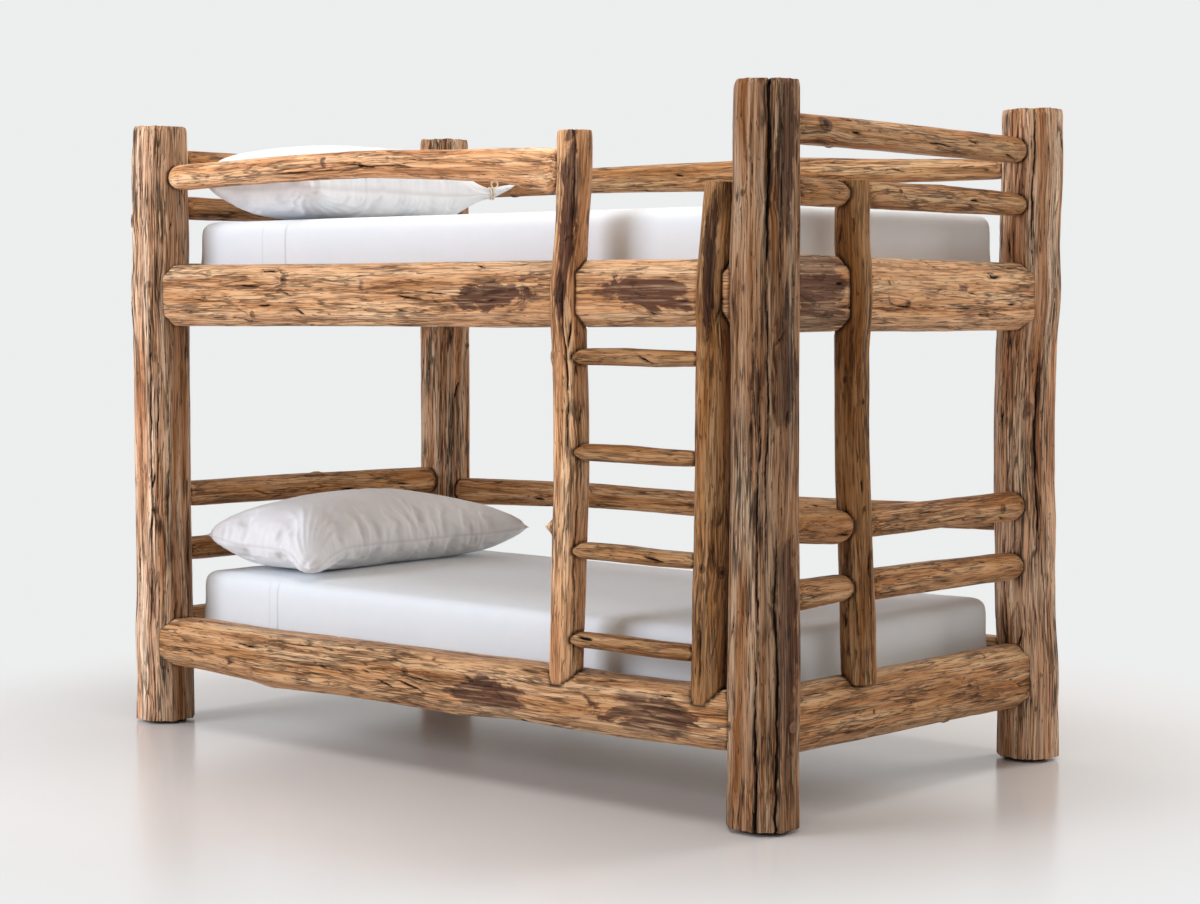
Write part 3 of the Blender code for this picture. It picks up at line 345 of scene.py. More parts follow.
@dataclass(frozen=True)
class WoodFinish:
    """Weathered log, hewn or peeled, then brushed and oiled.

    Brushing takes the soft wood out between the fibres, so the eye gets fine dark lines along the grain,
    3 to 4 mm apart. Drying leaves black fissures, resin leaves stains, and the oil a soft sheen on worn
    arrises. Every size is a pair in metres, across and along the grain.
    """

    name: str
    slot: str
    deep: str
    mid: str
    pale: str
    streak: str
    stain: str
    crack: str
    worn: str
    stain_share: float
    fissure_share: float
    sway: float  # how far the grain wanders sideways
    split_depth: float  # depth of the fissures in the skin
    hew_depth: float  # unevenness that the axe or drawknife leaves
    hew_size: Pair
    split_size: Pair = (0.020, 0.26)
    line_share: float = 0.66  # how dark the fibre lines are
    hair_share: float = 0.50  # how dark the finest lines are
    broad_size: Pair = (0.030, 0.55)
    streak_size: Pair = (0.016, 0.36)
    fibre_size: Pair = (0.0090, 0.300)
    hair_size: Pair = (0.0036, 0.150)
    fissure_size: Pair = (0.022, 0.480)
    patch_size: Pair = (0.060, 0.30)
    stain_size: Pair = (0.050, 0.130)
    pit_size: Pair = (0.0050, 0.042)
    sway_size: Pair = (0.080, 0.260)
    tones: Pair = (0.6, 1.2)  # a dark log's tone and a pale log's
    warmth: Pair = (1.07, 0.96)  # their saturation
    roughness: Pair = (0.40, 0.58)
    specular: float = 0.15
    sheen: float = 0.04
    sheen_roughness: float = 0.30
    sheen_tint: str = "#F3ECE6"
    bump_strength: float = 0.60
    bump_depth: float = 0.0018

    def patterns(self, tree: NodeTree, grain: NodeSocket) -> dict:
        """Noise stretched along the swaying grain, one for each pattern size.

        Args:
            tree: the material's tree.
            grain: the log's own coordinates, the third of them along the log.

        Returns:
            Pattern name to its noise output.
        """
        # Each pattern's name, size, detail and distortion.
        kinds = (
            ("sway", self.sway_size, 1.0, 0.0), ("broad", self.broad_size, 2.0, 0.2),
            ("streak", self.streak_size, 4.0, 0.3), ("fibre", self.fibre_size, 2.0, 0.15),
            ("hair", self.hair_size, 1.0, 0.0), ("fissure", self.fissure_size, 3.0, 0.2),
            ("patch", self.patch_size, 2.0, 0.0), ("stain", self.stain_size, 6.0, 1.2),
            ("pit", self.pit_size, 2.0, 0.3),
        )
        made = {}
        for word, (across, along), detail, distortion in kinds:
            scale = (1 / across, 1 / across, 1 / along)
            noise = stretched_noise(tree, grain, scale, detail, roughness=0.6, distortion=distortion)
            made[word] = noise.outputs["Fac"]
            if word == "sway":
                reach = (2 * self.sway, 2 * self.sway, 0.0)
                moved = add_node(tree, "ShaderNodeVectorMath", {"operation": "MULTIPLY_ADD"}, {
                    0: noise.outputs["Color"], 1: reach, 2: grain})
                grain = moved.outputs["Vector"]
        return made

    def masks(self, tree: NodeTree, noise: dict, read: dict) -> dict:
        """Where each layer of colour shows, from 0 to 1.

        Args:
            tree: the material's tree.
            noise: pattern name to noise output.
            read: attribute name to its output.

        Returns:
            Mask name to its output.
        """
        made = {
            "ridge": ridge_of(tree, noise["fissure"], 0.5), "line": ridge_of(tree, noise["fibre"], 0.5),
            "rim": ridge_of(tree, read["knot"], 1.0),
            "stained": math_node(tree, "MULTIPLY_ADD", read["stain"], 0.34, noise["stain"]),
            "uneven": math_node(tree, "MULTIPLY_ADD", noise["pit"], 0.8, read["knot"]),
        }
        turn = math_node(tree, "MULTIPLY_ADD", read["knot"], 21.0, noise["streak"])
        made["turn"] = math_node(tree, "SINE", turn)
        # Each mask's name and source, and the source's values where the mask is 0 and 1.
        ranges = (
            ("dark_streak", noise["streak"], 0.51, 0.62), ("pale_streak", noise["streak"], 0.47, 0.36),
            ("line", made["line"], 0.044, 0.018), ("pale_fibre", noise["fibre"], 0.44, 0.34),
            ("hair", noise["hair"], 0.55, 0.59), ("pit", noise["pit"], 0.635, 0.67),
            ("ridge", made["ridge"], 0.038, 0.016), ("patch", noise["patch"], 0.45, 0.54),
            ("stain", made["stained"], 0.62, 0.69), ("blot", made["stained"], 0.88, 0.93),
            ("knot", made["uneven"], 1.75, 1.35), ("knot_ring", made["turn"], 0.0, 0.9),
            ("knot_rim", made["rim"], 0.22, 0.0), ("knot_heart", made["uneven"], 1.05, 0.75),
            # Round each check the wood is darkened partly by dirt and partly by painted shade.
            ("check", read["check"], 0.0, 0.08), ("check_dirt_and_shade", read["check"], -0.45, 0.0),
            ("groove", read["pit"], 0.45, 0.90),
        )
        for word, source, low, high in ranges:
            made[word] = map_range(tree, source, low, high)
        made["line_place"] = map_range(tree, noise["patch"], 0.34, 0.52, 0.45, 1.0)
        for word, first, second in (("fissure", "ridge", "patch"), ("knot_ring", "knot_ring", "knot"),
                                    ("line", "line", "line_place")):
            made[word] = math_node(tree, "MULTIPLY", made[first], made[second])
        return made

    def material(self) -> Material:
        """Build the wood from its patterns.

        Returns:
            The material.
        """
        material, tree = empty_material(self.name)
        grain = add_node(tree, "ShaderNodeAttribute", {"attribute_name": "grain"}).outputs["Vector"]
        read = {}
        for word in ("check", "knot", "stain", "worn", "joint", "tone", "pit"):
            read[word] = add_node(tree, "ShaderNodeAttribute", {"attribute_name": word}).outputs["Fac"]
        noise = self.patterns(tree, grain)
        mask = self.masks(tree, noise, read)
        ramp = add_node(tree, "ShaderNodeValToRGB", {}, {"Fac": noise["broad"]})
        stops = ramp.color_ramp.elements
        stops[0].position, stops[0].color = 0.34, linear(self.deep)
        stops[1].position, stops[1].color = 0.68, linear(self.pale)
        middle = stops.new(0.50)
        middle.color = linear(self.mid)
        paint = ramp.outputs["Color"]
        # From the lowest layer up: its colour, where it lies and how far it covers.
        layers = (
            (self.stain, mask["stain"], self.stain_share), (self.pale, mask["pale_streak"], 0.35),
            (self.streak, mask["dark_streak"], 0.20), (self.worn, read["worn"], 0.34),
            (self.pale, mask["pale_fibre"], 0.25), (self.crack, mask["blot"], 0.60),
            (self.streak, mask["hair"], self.hair_share), (self.streak, mask["line"], self.line_share),
            (self.crack, mask["pit"], 0.66), (self.crack, mask["fissure"], self.fissure_share),
            (self.streak, mask["knot"], 0.55), (self.crack, mask["knot_ring"], 0.30),
            (self.crack, mask["knot_rim"], 0.35), (self.crack, mask["knot_heart"], 0.90),
            # Round the checks the wood is darkened partly by dirt and partly by painted shade.
            (self.crack, mask["groove"], 0.22), (self.crack, mask["check_dirt_and_shade"], 0.30),
            # Where logs meet the wood is darkened partly by dirt and partly by painted shade.
            (self.crack, mask["check"], 0.97), (self.crack, read["joint"], 0.82),
        )
        for colour, where, share in layers:
            paint = mix_colour(tree, math_node(tree, "MULTIPLY", where, share), paint, linear(colour))
        # The tone also carries the painted shade of a post's foot side, which comes out darker and more
        # saturated.
        toned = add_node(tree, "ShaderNodeHueSaturation", {}, {
            "Color": paint, "Saturation": map_range(tree, read["tone"], *self.tones, *self.warmth),
            "Value": read["tone"]})
        height = noise["hair"]
        for word, share in (("line", -1.0), ("dark_streak", -0.5), ("fissure", -1.6), ("pit", -1.0),
                            ("check", -1.5)):
            height = math_node(tree, "MULTIPLY_ADD", mask[word], share, height)
        bump = add_node(tree, "ShaderNodeBump", {}, {
            "Strength": self.bump_strength, "Distance": self.bump_depth, "Height": height})
        end_surface(tree, {
            "Base Color": toned.outputs["Color"],
            "Roughness": map_range(tree, noise["streak"], 0.3, 0.7, *self.roughness),
            "Specular IOR Level": self.specular, "Sheen Weight": self.sheen,
            "Sheen Roughness": self.sheen_roughness, "Sheen Tint": linear(self.sheen_tint),
            "Normal": bump.outputs["Normal"]})
        return material


POST_WOOD = WoodFinish(
    "hewn_post_wood", "post_wood", deep="#B67B50", mid="#D6A57E", pale="#EBCDAE", streak="#4C2B16",
    stain="#5A3018", crack="#0E0704", worn="#F0D0B0", stain_share=0.80, fissure_share=0.76, sway=0.003,
    split_depth=0.0022, hew_depth=0.009, hew_size=(0.026, 0.45),
)
RAIL_WOOD = WoodFinish(
    "peeled_rail_wood", "rail_wood", deep="#B47B4B", mid="#D09A69", pale="#E6BD91", streak="#56301A",
    stain="#52342A", crack="#140A06", worn="#EBC8A0", stain_share=0.93, fissure_share=0.60, sway=0.006,
    split_depth=0.0014, hew_depth=0.005, hew_size=(0.060, 0.22), line_share=0.56, hair_share=0.44,
    fibre_size=(0.0095, 0.220), hair_size=(0.0038, 0.100), fissure_size=(0.026, 0.300),
)


class Run(Enum):
    """Which way a log runs: the numbers of its two axes across and its axis along."""

    ALONG_X = (1, 2, 0)
    ALONG_Y = (2, 0, 1)
    UPRIGHT = (0, 1, 2)


@dataclass(frozen=True)
class Check:
    """A drying crack: from and to along the log's axis, the way it faces in degrees, and half its width.

    Its slope is how far it runs sideways for each metre along the log.
    """

    start: float
    end: float
    facing: float
    width: float
    slope: float = 0.0


@dataclass(frozen=True)
class Knot:
    """A knot: its place along the log's axis, the way it faces in degrees, and its radius."""

    along: float
    facing: float
    radius: float


@dataclass(frozen=True)
class Stain:
    """A dark patch: its place along the log's axis, the way it faces in degrees, and its size."""

    along: float
    facing: float
    length: float
    width: float


class Solids:
    """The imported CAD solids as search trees, made once each."""

    def __init__(self, nodes: dict[str, Object]) -> None:
        """Keep the frame's nodes."""
        self.nodes = nodes
        self.trees: dict[str, BVHTree] = {}

    def tree(self, name: str) -> BVHTree:
        """Find or make the search tree of one node.

        Args:
            name: the node's name.

        Returns:
            The search tree.
        """
        if name not in self.trees:
            mesh = self.nodes[name].data
            faces = [tuple(face.vertices) for face in mesh.polygons]
            self.trees[name] = BVHTree.FromPolygons(read_points(mesh).tolist(), faces)
        return self.trees[name]


def blur_rows(values: Array, sigma: float) -> Array:
    """Smooth a grid along its rows' direction.

    Args:
        values: rows along the log, columns round it.
        sigma: standard deviation in rows.

    Returns:
        The smoothed grid.
    """
    reach = max(1, int(3 * sigma))
    offsets = np.arange(-reach, reach + 1)
    weights = np.exp(-0.5 * (offsets / sigma) ** 2)
    weights /= weights.sum()
    padded = np.pad(values, ((reach, reach), (0, 0)), mode="edge")
    windows = np.lib.stride_tricks.sliding_window_view(padded, 2 * reach + 1, axis=0)
    return windows @ weights


def blur_round(values: Array, sigma: float, columns: Optional[int] = None) -> Array:
    """Smooth a grid round the log, and resample it to another number of columns.

    Args:
        values: rows along the log, columns round it.
        sigma: standard deviation in degrees.
        columns: columns of the result, or None for as many as before.

    Returns:
        The smoothed grid.
    """
    count = values.shape[1]
    columns = columns or count
    waves = np.fft.rfft(values, axis=1)
    turns = np.arange(waves.shape[1])
    waves = waves * np.exp(-0.5 * (turns * math.radians(sigma)) ** 2)
    return np.fft.irfft(waves, n=columns, axis=1) * columns / count


def close_sockets(radii: Array, reach: int) -> Array:
    """Bridge sockets and laps that are shorter than twice reach along the log.

    Args:
        radii: distance from the log's axis to its surface, rows along the log.
        reach: rows to each side that the bridge looks at.

    Returns:
        The radii with the sockets bridged and the ends as they were.
    """
    padded = np.pad(radii, ((2 * reach, 2 * reach), (0, 0)), constant_values=-np.inf)
    view = np.lib.stride_tricks.sliding_window_view
    widest = view(padded, 2 * reach + 1, axis=0).max(-1)
    return view(widest, 2 * reach + 1, axis=0).min(-1)


def wander(along: Array, seed: int, length: float) -> Array:
    """A smooth random course from about -1 to 1 along a log.

    Args:
        along: places along the log.
        seed: number that picks the course.
        length: length of its longest wave.

    Returns:
        The course at each place.
    """
    rng = np.random.default_rng(seed)
    course = np.zeros_like(along)
    for octave in range(4):
        phase = rng.uniform(0, 2 * math.pi)
        course += np.sin(2 * math.pi * along * 1.9 ** octave / length + phase) / 1.7 ** octave
    return course / 2


def smooth_step(values: Array, low: float, high: float) -> Array:
    """Go smoothly from 0 at low to 1 at high."""
    share = np.clip((values - low) / (high - low), 0, 1)
    return share * share * (3 - 2 * share)


def turn_from(angles: Array, facing: float) -> Array:
    """Turn of each column from a facing in degrees, from minus pi to pi, as one row."""
    return np.angle(np.exp(1j * (angles[None, :] - math.radians(facing))))


def log_tree() -> NodeTree:
    """Make the Geometry Nodes tree that weathers a log: hollows, fissures, checks, knots and joint grooves.

    Returns:
        The tree.
    """
    fissure_edge = 0.075  # distance of the noise from its middle at a fissure's edge
    fissured = (0.46, 0.60)  # patch noise where fissures fade in
    check_slope = (-0.12, 0.25)  # check attribute from a crack's lip to its floor
    knot_slope = (1.9, 0.5)  # knot radii from the foot of a knot's bulge to its top
    sizes = ("Check Depth", "Fissure Depth", "Fissure Width", "Fissure Length", "Hew Depth", "Hew Width",
             "Hew Length", "Knot Rise", "Groove Depth")
    tree, given = shape_tree("weathered_log", {**dict.fromkeys(sizes, "Float"), "Wood": "Material"})
    grain = named_attribute(tree, "grain", "FLOAT_VECTOR")
    read = {word: named_attribute(tree, word, "FLOAT") for word in ("check", "knot", "joint", "seen")}
    noise = {}
    for word, kind, detail in (("fissure", "Fissure", 2.0), ("hew", "Hew", 2.0), ("patch", "Hew", 1.0)):
        width, length = given[f"{kind} Width"], given[f"{kind} Length"]
        size = add_node(tree, "ShaderNodeCombineXYZ", {}, {"X": width, "Y": width, "Z": length})
        scaled = add_node(tree, "ShaderNodeVectorMath", {"operation": "DIVIDE"}, {
            0: grain, 1: size.outputs["Vector"]})
        moved = add_node(tree, "ShaderNodeVectorMath", {"operation": "ADD"}, {
            0: scaled.outputs["Vector"], 1: (len(noise) * 7.3, 1.7, 4.1)})
        made = add_node(tree, "ShaderNodeTexNoise", {}, {
            "Vector": moved.outputs["Vector"], "Scale": 1.0, "Detail": detail, "Distortion": 0.2})
        noise[word] = made.outputs["Fac"]
    ridge = ridge_of(tree, noise["fissure"], 0.5)
    fissure = math_node(tree, "MULTIPLY", map_range(tree, ridge, fissure_edge, 0.0),
                        map_range(tree, noise["patch"], *fissured))
    rise = math_node(tree, "MULTIPLY", math_node(tree, "SUBTRACT", noise["hew"], 0.5), given["Hew Depth"])
    for mask, depth, sign in (
        (fissure, "Fissure Depth", -1.0), (read["joint"], "Groove Depth", -1.0),
        (map_range(tree, read["check"], *check_slope), "Check Depth", -1.0),
        (map_range(tree, read["knot"], *knot_slope, curve="SMOOTHSTEP"), "Knot Rise", 1.0),
    ):
        amount = math_node(tree, "MULTIPLY", given[depth], sign)
        rise = math_node(tree, "MULTIPLY_ADD", mask, amount, rise)
    normal = add_node(tree, "GeometryNodeInputNormal")
    push = add_node(tree, "ShaderNodeVectorMath", {"operation": "SCALE"}, {
        0: normal.outputs["Normal"], "Scale": math_node(tree, "MULTIPLY", rise, read["seen"])})
    kept = add_node(tree, "GeometryNodeStoreNamedAttribute", {"data_type": "FLOAT", "domain": "POINT"}, {
        "Geometry": given["Geometry"], "Name": "pit", "Value": fissure})
    shaped = add_node(tree, "GeometryNodeSetPosition", {}, {
        "Geometry": kept.outputs["Geometry"], "Offset": push.outputs["Vector"]})
    end_shape(tree, shaped.outputs["Geometry"], given["Wood"])
    return tree


@dataclass
class Log:
    """One log, skinned over its CAD solid as a grid of rows along it and columns round it."""

    node: str
    run: Run
    finish: WoodFinish
    columns: int
    row_step: float
    bridge: float  # longest socket or lap that the skin bridges
    seed: int
    tenons: Pair = (0.0, 0.0)  # left off inside the joints
    seen_ends: tuple[bool, bool] = (False, False)
    soften: float = 6.0  # degrees over which the hewn arrises are rounded
    tone: float = 1.0
    foot_side_shade: float = 1.0  # share of the tone on its foot side, which is darkened as painted shade
    foot_side_shade_edge: Pair = (0.58, 0.80)  # cosines of the turns between which that side starts
    checks: tuple[Check, ...] = ()
    knots: tuple[Knot, ...] = ()
    stains: tuple[Stain, ...] = ()
    nubs: tuple[Knot, ...] = ()  # broken twigs
    square: float = 0.0  # length at each end that keeps the section found further in
    random_checks: float = 3.0  # for each metre
    short_checks: float = 10.0
    random_knots: float = 0.8
    survey_step: float = 0.006
    survey_columns: int = 72
    survey_reach: float = 0.3  # how far outside the axis the measuring starts
    skin_inset: float = 0.0006  # keeps the survey off the end faces
    axis_blur: float = 0.08  # lengths over which the axis and the surface are evened out
    surface_blur: float = 0.008
    fine_step: float = 0.003  # rows near a joint
    fine_length: float = 0.042
    ease: float = 0.0022  # rounding of a sawn end
    groove_reach: float = 0.006  # distance from a joint within which dirt gathers and painted shade darkens the wood

    def middle(self, solid: BVHTree, point: Array, axis: int) -> float:
        """Middle of the solid on a line through a point along one axis.

        Args:
            solid: the log's search tree.
            point: a point inside the log.
            axis: number of the axis.

        Returns:
            The coordinate half way between the two outer faces, or the point's own.
        """
        found = []
        for side in (-1, 1):
            start = point.copy()
            start[axis] += side * self.survey_reach
            heading = [0.0, 0.0, 0.0]
            heading[axis] = -side
            hit = solid.ray_cast(start.tolist(), heading, 2 * self.survey_reach)[0]
            if hit is not None:
                found.append(hit[axis])
        return sum(found) / 2 if len(found) == 2 else point[axis]

    def survey(self, solid: BVHTree) -> tuple[Array, Array, Array]:
        """Measure the solid from outside, row by row.

        Args:
            solid: the log's search tree.

        Returns:
            Places along the log, its two middle coordinates at each, and its radii with sockets bridged.
        """
        across, second, along = self.run.value
        low, high = (np.array(corner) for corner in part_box(self.node))
        first = low[along] + self.tenons[0] + self.skin_inset
        last = high[along] - self.tenons[1] - self.skin_inset
        places = np.linspace(first, last, int((last - first) / self.survey_step) + 2)
        middles = np.zeros((len(places), 2))
        for i, place in enumerate(places):
            point = (low + high) / 2
            point[along] = place
            for axis in (second, across, second):
                point[axis] = self.middle(solid, point, axis)
            middles[i] = point[across], point[second]
        middles = blur_rows(middles, self.axis_blur / self.survey_step)
        angles = np.arange(self.survey_columns) * 2 * math.pi / self.survey_columns
        reach = self.survey_reach
        radii = np.zeros((len(places), self.survey_columns))
        for i, place in enumerate(places):
            for k, angle in enumerate(angles):
                heading = np.zeros(3)
                heading[across], heading[second] = math.cos(angle), math.sin(angle)
                start = heading * reach
                start[across] += middles[i, 0]
                start[second] += middles[i, 1]
                start[along] = place
                distance = solid.ray_cast(start, -heading, reach)[3]
                radii[i, k] = reach - distance if distance is not None else np.nan
        radii = np.where(np.isnan(radii), np.nanmedian(radii, axis=1, keepdims=True), radii)
        radii = close_sockets(radii, int(self.bridge / 2 / self.survey_step) + 1)
        kept = int(self.square / self.survey_step)
        radii[:kept] = radii[kept]
        radii[len(radii) - kept:] = radii[-1 - kept]
        return places, middles, blur_rows(radii, self.surface_blur / self.survey_step)

    def rows(self, first: float, last: float) -> tuple[Array, Array, Array]:
        """Where the rows of the skin lie, with the rounded and capped ends.

        Args:
            first: place of the log's first end.
            last: place of its last end.

        Returns:
            Places along the log, how far each row is drawn in, and the share of the radius it keeps.
        """
        ease_turns = np.radians((0, 25, 50, 70, 90))
        sawn_caps = np.linspace(0.9, 0.06, 11)
        hidden_caps = np.array((0.6, 0.2))
        rounded = 1.2 * self.ease  # length at a sawn end that the body's rows keep out of
        body = np.linspace(first, last, int((last - first) / self.row_step) + 2)
        fine, ends = [], []
        for seen, end, inward in zip(self.seen_ends, (first, last), (1, -1)):
            if seen:
                body = body[(body - end) * inward > rounded]
                extra = end + inward * self.ease * (1 - np.sin(ease_turns))
                drawn = self.ease * (1 - np.cos(ease_turns))
                caps = sawn_caps
            else:
                fine.append(end + inward * np.arange(0, self.fine_length, self.fine_step))
                extra, drawn, caps = np.array([end]), np.zeros(1), hidden_caps
            ends.append((
                np.concatenate((extra, np.full(len(caps), end))),
                np.concatenate((drawn, np.full(len(caps), drawn[-1]))),
                np.concatenate((np.ones(len(extra)), caps)),
            ))
        places = np.unique(np.round(np.concatenate((body, *fine)), 5))
        middle = (places, np.zeros(len(places)), np.ones(len(places)))
        return tuple(np.concatenate((a[::-1], b, c)) for a, b, c in zip(ends[0], middle, ends[1]))

    def random_features(self, first: float, last: float) -> tuple[list[Check], list[Knot]]:
        """Checks and knots that the log has besides those set out for it.

        Args:
            first: place of the log's first end.
            last: place of its last end.

        Returns:
            The checks and the knots.
        """
        rng = np.random.default_rng(1000 + self.seed)
        length = last - first
        checks = list(self.checks)
        for _ in range(int(round(self.random_checks * length))):
            run = rng.uniform(*LONG_RUN) * min(length, LONGEST_LOG)
            start = rng.uniform(first - 0.1 * run, last - 0.8 * run)
            checks.append(Check(start, start + run, rng.uniform(0, 360), rng.uniform(*LONG_WIDTH)))
        for _ in range(int(round(self.short_checks * length))):
            run = rng.uniform(*SHORT_RUN)
            start = rng.uniform(first, last - run)
            checks.append(Check(start, start + run, rng.uniform(0, 360), rng.uniform(*SHORT_WIDTH),
                                rng.uniform(*SHORT_SLOPE)))
        knots = list(self.knots)
        for _ in range(int(round(self.random_knots * length))):
            knots.append(Knot(rng.uniform(first + KNOT_MARGIN, last - KNOT_MARGIN), rng.uniform(0, 360),
                              rng.uniform(*KNOT_RADIUS)))
        return checks, knots

    def lay_out(self, places: Array, angles: Array, radii: Array) -> dict[str, Array]:
        """Lay checks, knots, stains and wear out over the skin.

        Args:
            places: places of the rows along the log.
            angles: angles of the columns.
            radii: radius of each point.

        Returns:
            Attribute name to its value at each point.
        """
        checks, knots = self.random_features(places.min(), places.max())
        usual = float(np.median(radii))
        along = places[:, None]
        made = {word: np.zeros(radii.shape) for word in ("stain", "bend")}
        made["knot"] = np.full(radii.shape, FAR_FROM_KNOT)
        made["check"] = np.full(radii.shape, NO_CHECK)
        for count, check in enumerate(checks):
            run = check.end - check.start
            share = np.clip((along - check.start) / run, 0, 1)
            past = np.maximum(np.maximum(check.start - along, along - check.end), 0)
            # The crack sways along its run and trembles within it, and its width is ragged.
            course = min(0.004, 0.05 * run) * wander(along, 50 * self.seed + count, 0.45)
            course += 0.0014 * wander(along, 51 * self.seed + count, 0.07)
            course += check.slope * (along - check.start)
            ragged = 1 + 0.4 * wander(along, 52 * self.seed + count, 0.16)
            turn = turn_from(angles, check.facing)
            half = check.width * ragged * np.sqrt(4 * share * (1 - share))
            line = (half - np.abs(turn * usual - course) - 0.4 * past) / CHECK_SPAN
            made["check"] = np.maximum(made["check"], line)
        for knot in knots:
            turn = turn_from(angles, knot.facing) * usual
            ahead = along - knot.along
            distance = np.sqrt((ahead / 1.25) ** 2 + turn ** 2) / knot.radius
            made["knot"] = np.minimum(made["knot"], distance)
            # The grain goes round the knot, further along the log than across it.
            made["bend"] += turn * 0.75 * np.exp(-(ahead / (3.4 * knot.radius)) ** 2
                                                 - (turn / (2.2 * knot.radius)) ** 2)
        for stain in self.stains:
            turn = turn_from(angles, stain.facing) * usual
            spot = ((along - stain.along) / (stain.length / 2)) ** 2 + (turn / (stain.width / 2)) ** 2
            made["stain"] = np.maximum(made["stain"], np.exp(-spot ** 1.5))
        arris_span, fully_worn = 22.0, 0.004
        made["worn"] = np.clip((radii - blur_round(radii, arris_span)) / fully_worn, 0, 1)
        return made

    def twigs(self, places: Array, angles: Array, radii: Array) -> Array:
        """Stubs of broken twigs, as heights on the skin.

        Args:
            places: places of the rows along the log.
            angles: angles of the columns.
            radii: radius of each point.

        Returns:
            The height at each point.
        """
        height = np.zeros(radii.shape)
        for nub in self.nubs:
            turn = turn_from(angles, nub.facing) * radii
            distance = ((places[:, None] - nub.along) / 1.5) ** 2 + turn ** 2
            height += 2.2 * nub.radius * np.exp(-distance / nub.radius ** 2)
        return height

    def joint_shade(self, points: Array, solids: Solids, others: list[str]) -> Array:
        """How close each point is to a log that it meets, where dirt and painted shade darken the wood.

        Args:
            points: the skin's points.
            solids: the CAD solids.
            others: names of the other logs' nodes.

        Returns:
            1 at a joint, falling to 0 within a few millimetres.
        """
        reach = self.groove_reach
        shade = np.zeros(len(points))
        for other in others:
            if other == self.node:
                continue
            low, high = (np.array(corner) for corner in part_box(other))
            near = np.all((points > low - reach) & (points < high + reach), axis=1)
            if not near.any():
                continue
            solid = solids.tree(other)
            for i in np.nonzero(near)[0]:
                distance = solid.find_nearest(points[i], reach)[3]
                if distance is not None:
                    shade[i] = max(shade[i], 1 - distance / reach)
        return np.clip(1.25 * shade, 0, 1)

    def skin(self, solids: Solids, others: list[str]) -> Object:
        """Build the log's skin with its attributes and unrolled map.

        Args:
            solids: the CAD solids.
            others: names of the other logs' nodes.

        Returns:
            The log, not yet weathered.
        """
        across, second, along = self.run.value
        at, middles, radii = self.survey(solids.tree(self.node))
        places, inset, share = self.rows(at[0], at[-1])
        fine = blur_round(radii, self.soften, self.columns)
        spot = np.interp(places, at, np.arange(len(at)))
        lower = np.minimum(spot.astype(int), len(at) - 2)
        part = (spot - lower)[:, None]
        fine = fine[lower] * (1 - part) + fine[lower + 1] * part
        centre = middles[lower] * (1 - part) + middles[lower + 1] * part
        angles = np.arange(self.columns) * 2 * math.pi / self.columns
        fine = fine + self.twigs(places, angles, fine)
        features = self.lay_out(places, angles, fine)
        size = (fine - inset[:, None]) * share[:, None]
        grid = np.zeros((len(places), self.columns, 3))
        out = np.stack((np.cos(angles), np.sin(angles)), axis=1)
        grid[..., across] = centre[:, 0:1] + size * out[None, :, 0]
        grid[..., second] = centre[:, 1:2] + size * out[None, :, 1]
        grid[..., along] = places[:, None]
        poles = np.zeros((2, 3))
        poles[:, across] = centre[[0, -1], 0]
        poles[:, second] = centre[[0, -1], 1]
        poles[:, along] = places[[0, -1]]
        points = np.concatenate((grid.reshape(-1, 3), poles))
        mesh = tube_mesh(self.node + "_log", points, len(places), self.columns, places, size)
        self.write_attributes(mesh, features, places, size, out, share)
        write_attribute(mesh, "joint", self.joint_shade(points, solids, others))
        return link_object(self.node + "_log", mesh)

    def write_attributes(self, mesh: Mesh, features: dict[str, Array], places: Array,
                         size: Array, out: Array, share: Array) -> None:
        """Store the log's coordinates and features on its mesh.

        Args:
            mesh: the skin's mesh.
            features: attribute name to its grid.
            places: places of the rows.
            size: radius of each point.
            out: direction of each column.
            share: share of the radius that each row keeps.
        """
        shift = np.random.default_rng(self.seed).uniform(-40, 40, 3)
        side = np.stack((-out[:, 1], out[:, 0]), axis=1)
        flat = size[..., None] * out[None] + features["bend"][..., None] * side[None]
        grain = np.concatenate((flat, np.broadcast_to(places[:, None, None], (*size.shape, 1))), axis=2)
        ends = np.array(((0, 0, places[0]), (0, 0, places[-1])))
        grain = np.concatenate((grain.reshape(-1, 3), ends)) + shift
        attribute = mesh.attributes.new("grain", "FLOAT_VECTOR", "POINT")
        attribute.data.foreach_set("vector", grain.astype(np.float32).ravel())
        sides = np.broadcast_to((share >= 1.0)[:, None], size.shape).astype(float)
        shallow = np.where(share >= 1.0, 1.0, 0.35)[:, None]
        # The foot side of the log gets a lower tone: painted shade.
        tone = self.tone * (1 - (1 - self.foot_side_shade) * smooth_step(out[:, 0], *self.foot_side_shade_edge))
        grids = {
            "check": features["check"], "knot": features["knot"],
            "stain": features["stain"], "worn": features["worn"] * sides,
            "seen": np.broadcast_to(shallow, size.shape), "tone": np.broadcast_to(tone[None], size.shape),
        }
        for word, grid in grids.items():
            pole = {"knot": FAR_FROM_KNOT, "tone": self.tone, "check": NO_CHECK}.get(word, 0.0)
            write_attribute(mesh, word, np.concatenate((grid.ravel(), (pole, pole))))


